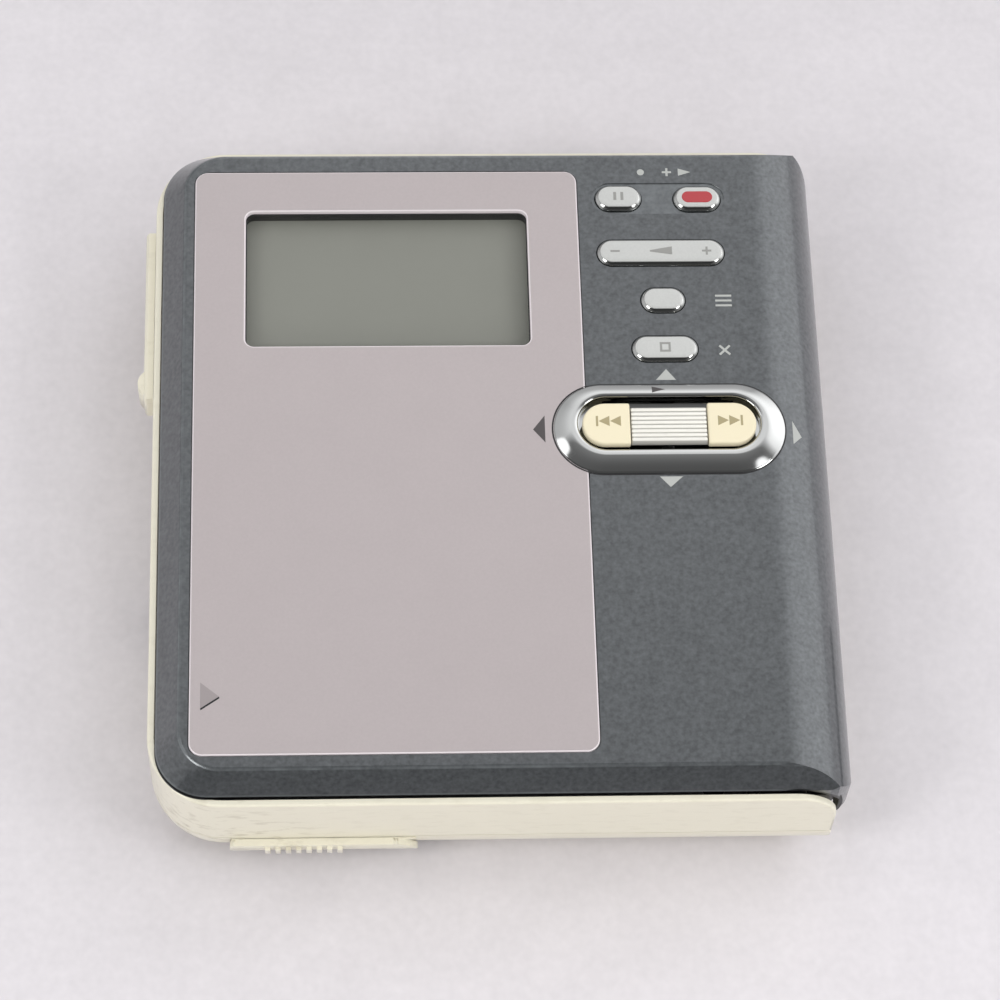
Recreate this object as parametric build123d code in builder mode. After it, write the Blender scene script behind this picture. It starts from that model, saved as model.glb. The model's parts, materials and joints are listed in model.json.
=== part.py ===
"""Pocket disc player and recorder with a hinged lid.

A moulded case holds a drawn deck with its spindle, sled and boards. A metal lid carries the
display and the keys, wraps round the right-hand end and turns there on two short pins. A sheet
holder hangs under the lid and takes the disc cartridge from the left.

Frame: X to the right, Y to the back, Z up, in millimetres. The origin is on the table, under
the middle of the case.
"""
import math
import os

from build123d import *



def along(y: float) -> float:
    """Place along Y for the present case depth, from its place in a case of the stated depth."""
    return y * CASE_DEPTH / STATED_DEPTH


# ---------------------------------------------------------------- case
CASE_WIDTH = 77.9          # along X, over the case and the lid's rolled end
CASE_DEPTH = 83.9          # along Y
CASE_HEIGHT = 20.7         # to the flat top of the lid
STATED_DEPTH = 83.9        # the case depth for which the places along Y below are written
CASE_CORNER_R = 8.3        # left corners in plan
BELLY_R = 8.0              # rounded lower edges, left, front and back
HEEL_R = 7.0               # rounded lower edge at the hinge end
WALL = 1.2                 # case wall
END_WALL = 0.9             # wall of the rounded hinge end
CAVITY_MOUTH = 2.45        # how far the opening at the top reaches past the hinge axis
CAVITY_HEEL_R = 4.0
LIP_Z = 17.0               # top of the case lip
LIP_T = 0.75               # lip thickness, and that of the two end plates
LIP_ROUND = 0.3            # rounded outer edge of the lip
LEDGE_DROP = 0.8           # step down behind the lip
SEAM_Z = 7.9               # where the bottom cover meets the frame
SEAM_GAP = 0.12

# ---------------------------------------------------------------- lid and hinge
LID_INSET = 0.91           # lid edge, in from the case on the left, front and back
LID_EDGE_Z = 17.5          # lower edge of the lid
LID_BEVEL_LEFT = 2.64      # run of the sloping edge on the left
LID_BEVEL_ENDS = 1.84      # run of the sloping edge at front and back
LID_CORNER_R = 5.8         # left corners of the lid
LID_END_CORNER_R = 3.2     # corners at the rolled end
LID_RIDGE_R = 0.6          # soft ridge between the top and the slopes
LID_WALL = 1.0
ROLL_R = 8.0               # rolled end of the lid, about the hinge axis
ROLL_T = 1.1
ROLL_END_ANGLE = -16.0     # where the rolled end stops, degrees below the axis
ROLL_START_ANGLE = -200.0  # and where the space inside it starts
LID_OPEN_ANGLE = 36.0
TRAVEL_TOP_ANGLE = 60.0    # the lid's travel is cut from the case up to here
EAR_TRAVEL_ANGLE = 150.0   # and that of its ears
PARTING_GAP = 0.5          # between the case's outline and the lid round it
HINGE_END_R = 6.2          # rounded hinge end of the case, about the axis
HINGE_END_CORNER_R = 4.9   # its upper corner
SWING_GAP = 0.2            # room round everything that swings with the lid
PIN_R = 0.8                # hinge pins
RUN_GAP = 0.05             # running clearance on pins and shafts
EAR_T = 0.8                # lid ears
EAR_R = 2.5
BOSS_R = 3.0               # eyes in the case that hold the pins
PIN_SEAT = 0.45            # depth of the pin in an end plate
ROLL_LIP_ANGLE = 8.0       # the case below the rolled end starts this far past its travel

# ---------------------------------------------------------------- display and its panel
PANEL_X = (-34.23, 10.62)
PANEL_Y = (along(-37.49), along(36.91))
PANEL_T = 0.6
PANEL_PROUD = 0.12
PANEL_R = 1.5
PANEL_GAP = 0.12
PANEL_EDGE = 0.2           # bevelled edge
WINDOW_X = (-28.3, 4.6)
WINDOW_Y = (along(13.4), along(31.5))
WINDOW_R = 1.0
WINDOW_FLANGE = 0.7
WINDOW_T = 0.65
LCD_T = 1.5

# ---------------------------------------------------------------- keys
KEY_COLUMN_X = 20.05       # middle of the column of keys
KEY_TOP = 0.5              # key top above the lid
KEY_EDGE = 0.4             # bevel round a key
KEY_GAP = 0.1
KEY_FLANGE = 0.45
KEY_FLANGE_T = 0.5
KEY_WELL_DEPTH = 0.15      # shallow recess that joins the two upper keys
PAUSE_KEY = (15.5, along(33.17), 5.44, 3.45)      # centre X, centre Y, length, width
RECORD_KEY = (24.8, along(33.06), 5.57, 3.4)
VOLUME_KEY = (20.18, along(25.67), 14.92, 3.54)
SEARCH_KEY = (20.15, along(19.25), 5.13, 3.35)
CANCEL_KEY = (20.08, along(12.78), 7.64, 3.44)
RECORD_INSERT = (3.6, 1.52, 0.3)           # length, width, depth

# ---------------------------------------------------------------- control bar and its bezel
RING_Y = along(2.3)
RING_SIZE = (26.6, 11.5)
RING_BODY = (24.6, 9.6)    # part that passes through the lid
RING_TOP = 0.65            # crest above the lid
RING_MOUTH = (20.9, 7.9)
RING_SLOPE = 1.0           # inner slope of the crest
DISH_Z = 19.6              # floor of the dish
DISH_T = 0.5
BAR_LENGTH = 20.04
BAR_WIDTH = 6.2
BAR_TOP_Z = 21.75
BAR_T = 0.95
GRIP_LENGTH = 8.7
GRIP_WIDTH = 5.3
GRIP_OFFSET = -0.06
GRIP_RIBS = 6
CAP_GAP = 0.06
CARRIER_SIZE = (16.0, 4.0)
CARRIER_T = 0.35
STEM_R = 0.8
STEM_TUBE_R = 1.35
GIMBAL_Z = 18.6
GIMBAL_R = (1.5, 2.5)
GIMBAL_T = 0.7
GIMBAL_PIN_R = 0.2

# ---------------------------------------------------------------- cartridge, holder and deck
CARTRIDGE = (68.0, along(72.0), 5.0)
CARTRIDGE_X = -35.3        # its left edge
CARTRIDGE_Z = 10.9         # its underside
CARTRIDGE_GAP = 0.3
HOLDER_T = 0.45
HOLDER_LIP = 2.6
DECK_Z = 8.1               # underside of the deck plate
DECK_T = 0.8
SPINDLE_X = -1.3
TURNTABLE_R = 9.2
TURNTABLE_Z = 9.3
SEAT_Z = 10.9              # rim on which the disc hub rests
NOSE_Z = 11.6
SHAFT_R = 0.75
MOTOR_R = 8.6
MOTOR_Z = (3.7, 8.0)
LENS_Y = along(-16.0)             # lens over the innermost track
SLED_SIZE = (15.0, 10.5, 4.4)
SLED_Z = 4.5
ROD_R = 0.7
ROD_SPAN = 16.9            # between the two guide rods
ROD_Y = (along(-37.6), along(-10.0))
ROD_Z = 6.9
LENS_R = 1.7
SCREW_R = 0.8
SCREW_X = 12.0
SCREW_Z = 5.8
GEAR_MODULE = 0.25
SCREW_TEETH = 16
PINION_TEETH = 8
GEAR_T = 1.4
SLED_MOTOR_R = 2.0
SLED_MOTOR_L = 11.0
BOARD_Z = 2.3
BOARD_T = 0.8

# ---------------------------------------------------------------- battery, door and jacks
BATTERY = (17.0, along(67.0), 6.0)
BATTERY_X = -19.6          # its middle
BATTERY_Z = 1.9
BATTERY_Y = along(-36.6)          # its front end
BATTERY_GAP = 0.3
DOOR_X = (-30.1, -9.15)
DOOR_Z = (1.9, 7.6)
DOOR_PROUD = 0.9
DOOR_GAP = 0.15
DOOR_END_R = 2.8           # round right end of the door
DOOR_START_R = 0.6
DOOR_SLIDE = 2.5
DOOR_RIBS = 8
DOOR_RIB_PITCH = 1.15
DOOR_RIB_START = -25.9
DOOR_RIB_PROUD = 0.4
DOOR_PIN_IN = 3.75         # pin axis, in from the front of the case
DOOR_PIN_Z = 2.2
DOOR_PIN_R = 0.4
DOOR_KNUCKLE_T = 0.45
DOOR_KNUCKLE_L = 3.0
DOOR_ROOM_R = 1.85         # room in the cover round each knuckle
DOOR_PIN_SEAT = 0.8        # pin held at each end, at either end of its slide
DOOR_BOSS = (1.5, 2.0)     # pin bosses: along Y, along Z
CONTACT_LENGTH = 2.4       # spring contact behind the battery
BAY_WALL = 0.8
BAY_SHARE = 0.8            # height of the bay walls, as a share of the battery
BATTERY_RIBS_Y = (along(-24.0), 0.0, along(24.0))
JACK_R = 1.8               # 3.5 mm plug
JACK_Z = 4.9
JACK_BODY = (6.0, 12.0, 5.6)
JACK_COLLAR_R = 2.7
JACK_X = {"headphone_jack": 27.0, "line_in_jack": 17.0, "mic_jack": 7.0}
DC_JACK_X = -3.0
DC_JACK_R = 1.2
DC_COLLAR_R = 2.2
USB_Y = along(-12.0)
USB_SIZE = (8.4, 7.7, 3.4)

# ---------------------------------------------------------------- sliders
OPEN_Y = (along(9.7), along(32.0))
OPEN_Z = (11.0, 15.2)
OPEN_PROUD = 1.25
OPEN_NUB = 0.7
OPEN_TRAVEL = 3.0
OPEN_POST = (5.0, 1.4)     # post through the wall: along Y, along Z
HOLD_X = -18.0
HOLD_SIZE = (9.0, 3.4)
HOLD_PROUD = 0.7
HOLD_TRAVEL = 2.0
HOLD_POST = (3.0, 1.2)
HOLD_Z = 12.5
SLIDE_GAP = 0.12

# ---------------------------------------------------------------- fasteners
SCREW_HEAD_R = 1.3
SCREW_SHANK_R = 0.7
SCREW_HEAD_T = 0.6
SLOT_WIDTH = 0.35
POST_SIZE = 3.6
POST_WEB = 2.4
POST_FOOT_Z = 3.3
POST_GRIP = 2.0            # screw length inside a post
POSTS = [(-33.2, along(24.0)), (-33.2, along(-24.0)), (22.0, along(37.0)), (24.0, along(-37.0))]
BOARD_POSTS = [(-7.0, along(22.0)), (27.0, along(22.0)), (27.0, along(-28.0))]
BOARD_POST_R = 1.2

# ---------------------------------------------------------------- small inner sizes
DECK_EDGE = 0.25           # gap round the deck plate
DECK_OPENING_GAP = 0.8
SLED_WINDOW_Y = (along(-37.0), along(-8.0))
TONGUE = (2.2, 0.8, 2.6)   # rod tongues: along X, along Y, down
PIN_END = 0.15             # pin past the holder's rail
SCREW_SUNK = 0.1           # bottom screws below the surface
BOARD_X = (-9.2, 29.4)
BOARD_Y = (along(-34.0), along(27.0))
BOARD_R = 1.5
BOARD_CHIPS = [        # middle, size along X and Y, height
    (20.0, along(14.0), 11.0, 11.0, 1.0),
    (21.0, along(-2.0), 8.0, 8.0, 1.0),
    (6.0, along(19.0), 9.0, 6.0, 0.9),
]
BATTERY_R = 1.6
CONTACT_T = 0.3
JACK_COLLAR_L = 5.0
JACK_SUNK = 0.15           # socket faces below the belly
USB_SHELL = 0.35
SEAT_R = (5.4, 7.6)        # rim under the disc hub
NOSE_R = 3.4
SLED_BEARING_R = 1.15
TOOTH_ROOT = 0.95          # half a tooth at the root, middle and tip, in modules
TOOTH_TIP = 0.32
TOOTH_TOP = 0.8
GEAR_Y = along(-8.2)
GEAR_SLACK = 0.05
SCREW_Y = (along(-33.0), along(-9.0))
PINION_BORE = 0.4
PINION_SHAFT = 1.6
PINION_GAP = 0.5
SLED_MOTOR_FLAT = 1.7
SPRING_T = 0.08
SPRING_X = (-12.0, 10.0)
SPRING_WIDTH = 2.4
SPRING_IN = 5.0
HOLDER_WINDOWS = [(along(-23.0), 14.0, 22.0), (along(20.0), 30.0, 18.0)]   # middle Y, length, width
HOLDER_WINDOW_R = 2.0
HOLDER_NOTCH = (3.0, 8.0)
MOTOR_SHOULDER = (0.8, 1.2, 0.6)   # step in, its foot and its top below the motor's crown
MOTOR_NOSE_R = (2.4, 3.0)
SEAT_STEP = 0.6            # seat rim above the turntable's disc
SHAFT_END = 0.3
MAGNET_T = 0.4
WELL_R = 1.6               # lens well round the lens
WELL_DEPTH = 1.0
LENS_RING_T = 1.2
LENS_RING_H = 1.4
LENS_H = 1.3
LENS_ROUND = 0.5
SLED_CHAMFER = 1.5
NUT_HALF_Y = 1.5
NUT_HALF_Z = 0.8
JOURNAL_L = (1.4, 0.2)     # screw journals: length, and plain end past the gear
BRACKET_HALF = 1.4
BRACKET_T = 1.0
CONTACT_SHAPE = (4.0, 5.0, 1.0)   # reach left, reach right, margin at top and bottom
LID_BOSSES = [(-33.0, along(34.5)), (-33.0, along(-34.5)), (23.0, along(-34.5)), (9.0, along(34.5))]
LID_BOSS_R = 1.7
LID_SCREW_L = 2.4
TRAY_X = -36.5
TRAY_BEADS_Y = (along(-30.0), along(30.0))
BEAD_SIZE = (40.0, 3.0)
PANEL_MARK_DEPTH = 0.1
PANEL_ARROWS = [
    [(4.48, along(2.29)), (5.85, along(0.61)), (5.85, along(4.1))],
    [(-30.94, along(-30.53)), (-33.0, along(-28.83)), (-33.0, along(-31.94))],
]
LCD_FRAME_T = 0.4
KEY_BOARD_X = (12.0, 28.6)
KEY_BOARD_Y = (along(-6.0), along(36.2))
DOME_R = 1.6
RING_TAPER = 45.0
DISH_HOLE_R = 2.0
LUG_Y = (2.7, 3.5)
LUG_HALF_X = 0.8
STEM_TOP_Z = 20.15
TUBE_Z = 19.4
BAR_ROUND = 0.45
SKIP_MARK_X = 5.3
SKIP_MARK_Y = RING_Y + 0.55
SKIP_MARK = (0.95, 1.1, 0.08)   # length, height and depth of one arrow
GRIP_GROOVE = 0.35
KEY_REST = 0.2             # flange below the skin
KEY_STEM_Z = 18.45
KEY_STEM_R = 0.8
KEY_MARK = 0.06            # depth, half size and half stroke of the marks on the keys
MARK_HALF = 0.6
MARK_LINE = 0.13
MARK_SHARE = 0.36
OPEN_NUB_STEP = 0.3
OPEN_ROUND = 0.5
OPEN_NUB_R = 1.9
OPEN_GROOVE = 0.35
LATCH_T = 0.5
HOLD_GROOVE = 0.22
LATCH_HALF_Y = 6.0

# ---------------------------------------------------------------- worked out from the above
LEFT = -CASE_WIDTH / 2
FRONT = -CASE_DEPTH / 2
HINGE_X = CASE_WIDTH / 2 - ROLL_R
HINGE_Z = CASE_HEIGHT - ROLL_R
LID_LEFT = LEFT + LID_INSET
LID_HALF_Y = CASE_DEPTH / 2 - LID_INSET
SKIN_Z = CASE_HEIGHT - LID_WALL                 # underside of the lid's skin
END_FACE_Y = CASE_DEPTH / 2 - LIP_T             # inner face of the case's end plates
LEDGE_Z = LIP_Z - LEDGE_DROP
EAR_Y = LID_HALF_Y - 0.45 - EAR_T               # inner face of a lid ear
BOSS_Y = (CARTRIDGE[1] / 2 + 1.0, EAR_Y - SWING_GAP)
HOLDER_HALF_Y = CARTRIDGE[1] / 2 + CARTRIDGE_GAP
HOLDER_Z = (CARTRIDGE_Z - CARTRIDGE_GAP - HOLDER_T, CARTRIDGE_Z + CARTRIDGE[2] + 0.1)
CARTRIDGE_END = CARTRIDGE_X + CARTRIDGE[0]
TRAY_Z = HOLDER_Z[1] + HOLDER_T + 0.3           # underside of the lid's inner plate
TRAY_T = 0.6
TRAY_END = HINGE_X - 2.45
KEY_BOARD_Z = TRAY_Z + TRAY_T + 0.05
KEY_BOARD_T = 0.5
DOME_T = 0.25
WINDOW_Z = SKIN_Z - 0.05 - WINDOW_T
LCD_Z = WINDOW_Z - 0.05 - LCD_T
FAR = 2 * CASE_WIDTH                            # longer than anything here


def export(part: Part, name: str) -> None:
    """Label a finished piece and write it to its own file."""
    part.label = name
    export_step(part, f"parts/{name}.step")


def middle(span: tuple) -> float:
    """Middle of a (low, high) span."""
    return (span[0] + span[1]) / 2


def width(span: tuple) -> float:
    """Width of a (low, high) span."""
    return span[1] - span[0]


# ---------------------------------------------------------------- shared forms
def round_right_corner(sketch: BuildSketch, upper: bool, radius: float) -> None:
    """Fillet the upper or lower corner on the right of a sketch."""
    right = sketch.vertices().group_by(Axis.X)[-1].sort_by(Axis.Y)
    fillet(right[-1] if upper else right[0], radius)


def slab(x: tuple, y: tuple, z: tuple) -> Part:
    """Plain block between three spans, used as a cutting tool or a boss."""
    with BuildPart(mode=Mode.PRIVATE) as block:
        with Locations((middle(x), middle(y), middle(z))):
            Box(width(x), width(y), width(z))
    return block.part


def disc_along_y(radius: float, y: tuple, x: float = HINGE_X, z: float = HINGE_Z) -> Part:
    """Round bar along Y, at the hinge axis unless told otherwise."""
    with BuildPart(mode=Mode.PRIVATE) as bar:
        with BuildSketch(Plane.XZ.offset(-y[1])):
            with Locations((x, z)):
                Circle(radius)
        extrude(amount=width(y))
    return bar.part


def hinge_sector(inner: float, outer: float, start: float, end: float, y: tuple) -> Part:
    """Part of a ring about the hinge axis, from the start angle to the end angle in degrees."""
    span = math.radians(end - start)
    with BuildPart(mode=Mode.PRIVATE) as ring:
        with BuildSketch(Plane.XZ.offset(-y[1])):
            with Locations((HINGE_X, HINGE_Z)):
                Circle(outer)
                if inner > 0:
                    Circle(inner, mode=Mode.SUBTRACT)
            reach = 2 * outer
            steps = 4
            rim = [
                (HINGE_X + reach * math.cos(math.radians(start) + span * k / steps),
                 HINGE_Z + reach * math.sin(math.radians(start) + span * k / steps))
                for k in range(steps + 1)
            ]
            with BuildLine():
                Polyline((HINGE_X, HINGE_Z), *rim, close=True)
            make_face(mode=Mode.INTERSECT)
        extrude(amount=width(y))
    return ring.part


def belly_block(inset: float, top: float) -> Part:
    """Case drawn in by inset, with round left corners and a round lower edge, endless to the right."""
    with BuildPart(mode=Mode.PRIVATE) as block:
        with BuildSketch(Plane.XY.offset(inset)) as plan:
            with Locations(((LEFT + inset + FAR) / 2, 0)):
                Rectangle(FAR - LEFT - inset, CASE_DEPTH - 2 * inset)
            fillet(plan.vertices().group_by(Axis.X)[0], CASE_CORNER_R - inset)
        extrude(amount=top - inset)
        under = block.faces().sort_by(Axis.Z)[0].edges()
        fillet(under.sort_by(Axis.X)[:-1], BELLY_R - inset)
    return block.part


def case_form() -> Part:
    """Outside of the case: the round belly cut to the hinge end, with a soft outer edge."""
    right = HINGE_X + HINGE_END_R
    with BuildPart(mode=Mode.PRIVATE) as end:
        with BuildSketch(Plane.XZ) as section:
            with Locations(((right - FAR) / 2, LIP_Z / 2)):
                Rectangle(right + FAR, LIP_Z)
            round_right_corner(section, False, HEEL_R)
            round_right_corner(section, True, HINGE_END_CORNER_R)
        extrude(amount=CASE_DEPTH / 2, both=True)
        ends = end.faces().sort_by(Axis.Y)
        fillet(ends[0].edges().sort_by(Axis.X)[1:], LIP_ROUND)
        fillet(end.faces().sort_by(Axis.Y)[-1].edges().sort_by(Axis.X)[1:], LIP_ROUND)
    with BuildPart(mode=Mode.PRIVATE) as form:
        add(belly_block(0, LIP_Z))
        rim = form.faces().sort_by(Axis.Z)[-1].edges().sort_by(Axis.X)[:-1]
        fillet(rim, LIP_ROUND)
        add(end.part, mode=Mode.INTERSECT)
    return form.part


def cavity_form(inset: float, floor: float) -> Part:
    """Inside of the case, open at the top, with its round end about the hinge axis."""
    right = HINGE_X + CAVITY_MOUTH
    with BuildPart(mode=Mode.PRIVATE) as form:
        add(belly_block(inset, CASE_HEIGHT))
        with BuildSketch(Plane.XZ) as end:
            with Locations(((right - FAR) / 2, (CASE_HEIGHT + floor) / 2)):
                Rectangle(right + FAR, CASE_HEIGHT - floor)
            round_right_corner(end, False, CAVITY_HEEL_R)
            with Locations((HINGE_X, HINGE_Z)):
                Circle(HINGE_END_R - END_WALL)
        extrude(amount=CASE_DEPTH, both=True, mode=Mode.INTERSECT)
    return form.part


def lid_form(inset: float, roll: float) -> Part:
    """Outer form of the lid drawn in by inset, with the rolled end at radius roll."""
    top = CASE_HEIGHT - inset
    rise = (top - LID_EDGE_Z) / (CASE_HEIGHT - LID_EDGE_Z)
    with BuildPart(mode=Mode.PRIVATE) as form:
        for z, part_way in ((LID_EDGE_Z, 0.0), (top, rise)):
            left = LID_LEFT + inset + LID_BEVEL_LEFT * part_way
            half_y = LID_HALF_Y - inset - LID_BEVEL_ENDS * part_way
            with BuildSketch(Plane.XY.offset(z)) as plan:
                with Locations(((left + FAR) / 2, 0)):
                    Rectangle(FAR - left, 2 * half_y)
                fillet(plan.vertices().group_by(Axis.X)[0], LID_CORNER_R - inset - part_way)
        loft()
        if inset == 0:
            ridge = form.faces().sort_by(Axis.Z)[-1].edges().sort_by(Axis.X)[:-1]
            fillet(ridge, LID_RIDGE_R)
        with Locations((HINGE_X, 0, 0)):
            Box(2 * FAR, 2 * (LID_HALF_Y - inset), LID_EDGE_Z, align=(Align.CENTER, Align.CENTER, Align.MIN))
        with BuildSketch(Plane.XZ):
            with Locations(((HINGE_X - FAR) / 2, top / 2)):
                Rectangle(HINGE_X + FAR, top)
            with Locations((HINGE_X, HINGE_Z)):
                Circle(roll)
        extrude(amount=CASE_DEPTH, both=True, mode=Mode.INTERSECT)
        with BuildSketch() as outline:
            reach = HINGE_X + roll
            with Locations(((reach - FAR) / 2, 0)):
                Rectangle(reach + FAR, 2 * (LID_HALF_Y - inset))
            fillet(outline.vertices().group_by(Axis.X)[-1], LID_END_CORNER_R - inset)
        extrude(amount=CASE_HEIGHT, mode=Mode.INTERSECT)
    return form.part


def parting_form() -> Part:
    """Everything below and inside the line where lid and case part."""
    right = HINGE_X + HINGE_END_R + PARTING_GAP
    with BuildPart(mode=Mode.PRIVATE) as form:
        with BuildSketch(Plane.XZ) as section:
            with Locations(((right - FAR) / 2, 0)):
                Rectangle(right + FAR, 2 * LID_EDGE_Z)
            round_right_corner(section, True, HINGE_END_CORNER_R + PARTING_GAP)
        extrude(amount=CASE_DEPTH, both=True)
    return form.part


def stadium(length: float, breadth: float, z: tuple, x: float, y: float) -> Part:
    """Upright block with round ends, long side along X."""
    with BuildPart(mode=Mode.PRIVATE) as block:
        with BuildSketch(Plane.XY.offset(z[0])):
            with Locations((x, y)):
                SlotOverall(length, breadth)
        extrude(amount=width(z))
    return block.part


def chamfered(block: Part, size: float) -> Part:
    """The same piece with a bevel round its top face."""
    with BuildPart(mode=Mode.PRIVATE) as piece:
        add(block)
        chamfer(piece.faces().sort_by(Axis.Z)[-1].outer_wire().edges(), size)
    return piece.part


def screw(x: float, y: float, top: float, length: float, up: bool) -> Part:
    """Countersunk screw; its head's flat face is at height top and it points away from it."""
    sign = 1 if up else -1
    with BuildPart(mode=Mode.PRIVATE) as body:
        with BuildSketch(Plane.XZ.offset(-y)):
            with BuildLine():
                Polyline(
                    (x, top),
                    (x + SCREW_HEAD_R, top),
                    (x + SCREW_SHANK_R, top + sign * SCREW_HEAD_T),
                    (x + SCREW_SHANK_R, top + sign * length),
                    (x, top + sign * length),
                    close=True,
                )
            make_face()
        revolve(axis=Axis((x, y, 0), (0, 0, 1)))
        with Locations(Location((x, y, top), (180 if up else 0, 0, 0))):
            Box(1.5 * SCREW_HEAD_R, SLOT_WIDTH, SCREW_HEAD_T, mode=Mode.SUBTRACT)
            Box(SLOT_WIDTH, 1.5 * SCREW_HEAD_R, SCREW_HEAD_T, mode=Mode.SUBTRACT)
    return body.part


def screw_hole(x: float, y: float, top: float, length: float, up: bool) -> Part:
    """Space for a countersunk screw with its clearance."""
    sign = 1 if up else -1
    with BuildPart(mode=Mode.PRIVATE) as space:
        with BuildSketch(Plane.XZ.offset(-y)):
            with BuildLine():
                Polyline(
                    (x, top - sign),
                    (x + SCREW_HEAD_R + RUN_GAP, top - sign),
                    (x + SCREW_HEAD_R + RUN_GAP, top),
                    (x + SCREW_SHANK_R + RUN_GAP, top + sign * SCREW_HEAD_T),
                    (x + SCREW_SHANK_R + RUN_GAP, top + sign * (length + RUN_GAP)),
                    (x, top + sign * (length + RUN_GAP)),
                    close=True,
                )
            make_face()
        revolve(axis=Axis((x, y, 0), (0, 0, 1)))
    return space.part


# ---------------------------------------------------------------- case parts
def hinge_travel() -> Part:
    """Space that the lid's rolled end and its ears sweep as the lid opens."""
    low = ROLL_END_ANGLE - LID_OPEN_ANGLE - 4.0
    inside = (-END_FACE_Y, END_FACE_Y)
    with BuildPart(mode=Mode.PRIVATE) as travel:
        add(hinge_sector(HINGE_END_R, ROLL_R + SWING_GAP, low, TRAVEL_TOP_ANGLE, inside))
        add(hinge_sector(HINGE_END_R, 2 * ROLL_R, low + ROLL_LIP_ANGLE, TRAVEL_TOP_ANGLE, inside))
        for y in ((-END_FACE_Y, -EAR_Y + SWING_GAP), (EAR_Y - SWING_GAP, END_FACE_Y)):
            add(hinge_sector(0, ROLL_R + SWING_GAP, low, EAR_TRAVEL_ANGLE, y))
            add(disc_along_y(EAR_R + SWING_GAP, y))
    return travel.part


def post_parts(x: float, y: float) -> Part:
    """Deck post of the frame at x, y: a square post below the deck and a web to the wall."""
    half = POST_SIZE / 2
    post = slab((x - half, x + half), (y - half, y + half), (POST_FOOT_Z, DECK_Z))
    if abs(x) > abs(y) - POST_SIZE:
        web_x = sorted((x, math.copysign(CASE_WIDTH / 2 - WALL / 2, x)))
        web_y = (y - POST_WEB / 2, y + POST_WEB / 2)
    else:
        web_x = (x - POST_WEB / 2, x + POST_WEB / 2)
        web_y = sorted((y, math.copysign(CASE_DEPTH / 2 - WALL / 2, y)))
    web = slab(web_x, web_y, (SEAM_Z, DECK_Z + DECK_T + POST_WEB / 2))
    shoulder = slab((x - half, x + half), (y - half, y + half), (DECK_Z, CASE_HEIGHT))
    return post + (web - shoulder)


def make_base_frame() -> Part:
    """Upper ring of the case with its lip, hinge bosses, deck posts and slider slots."""
    with BuildPart() as frame:
        add(case_form())
        add(cavity_form(WALL, WALL), mode=Mode.SUBTRACT)
        add(cavity_form(LIP_T, LEDGE_Z), mode=Mode.SUBTRACT)
        for side in (-1, 1):
            span = sorted((side * BOSS_Y[0], side * BOSS_Y[1]))
            add(disc_along_y(BOSS_R, span))
            add(slab((HINGE_X - BOSS_R, HINGE_X + HINGE_END_R - END_WALL / 2), span, (SEAM_Z, HINGE_Z)))
            add(slab((HINGE_X - BOSS_R, HINGE_X), sorted((side * BOSS_Y[0], side * END_FACE_Y)),
                     (SEAM_Z, HINGE_Z - EAR_R - SWING_GAP)))
        add(hinge_travel(), mode=Mode.SUBTRACT)
        for side in (-1, 1):
            pin = sorted((side * HOLDER_HALF_Y, side * (END_FACE_Y + PIN_SEAT)))
            add(disc_along_y(PIN_R, pin), mode=Mode.SUBTRACT)
        for slot in (open_slot(), hold_slot()):
            add(slot, mode=Mode.SUBTRACT)
        split(bisect_by=Plane.XY.offset(SEAM_Z + SEAM_GAP / 2), keep=Keep.TOP)
        for x, y in POSTS:
            add(post_parts(x, y))
            hole = screw_hole(x, y, SCREW_SUNK, POST_FOOT_Z + POST_GRIP - SCREW_SUNK, up=True)
            add(hole, mode=Mode.SUBTRACT)
            add(screw_hole(x, y, DECK_Z + DECK_T, DECK_T + POST_GRIP, up=False), mode=Mode.SUBTRACT)
    return frame.part


def open_slot() -> Part:
    """Slot in the left wall for the open slider's post."""
    y = middle(OPEN_Y)
    reach = OPEN_POST[0] / 2 + SLIDE_GAP
    rise = OPEN_POST[1] / 2 + SLIDE_GAP
    z = middle(OPEN_Z)
    return slab((LEFT - WALL, LEFT + 2 * WALL), (y - reach - OPEN_TRAVEL, y + reach), (z - rise, z + rise))


def hold_slot() -> Part:
    """Slot in the back wall for the hold slider's post."""
    reach = HOLD_POST[0] / 2 + SLIDE_GAP
    rise = HOLD_POST[1] / 2 + SLIDE_GAP
    back = CASE_DEPTH / 2
    return slab((HOLD_X - reach, HOLD_X + reach + HOLD_TRAVEL), (back - 2 * WALL, back + WALL),
                (HOLD_Z - rise, HOLD_Z + rise))


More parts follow.
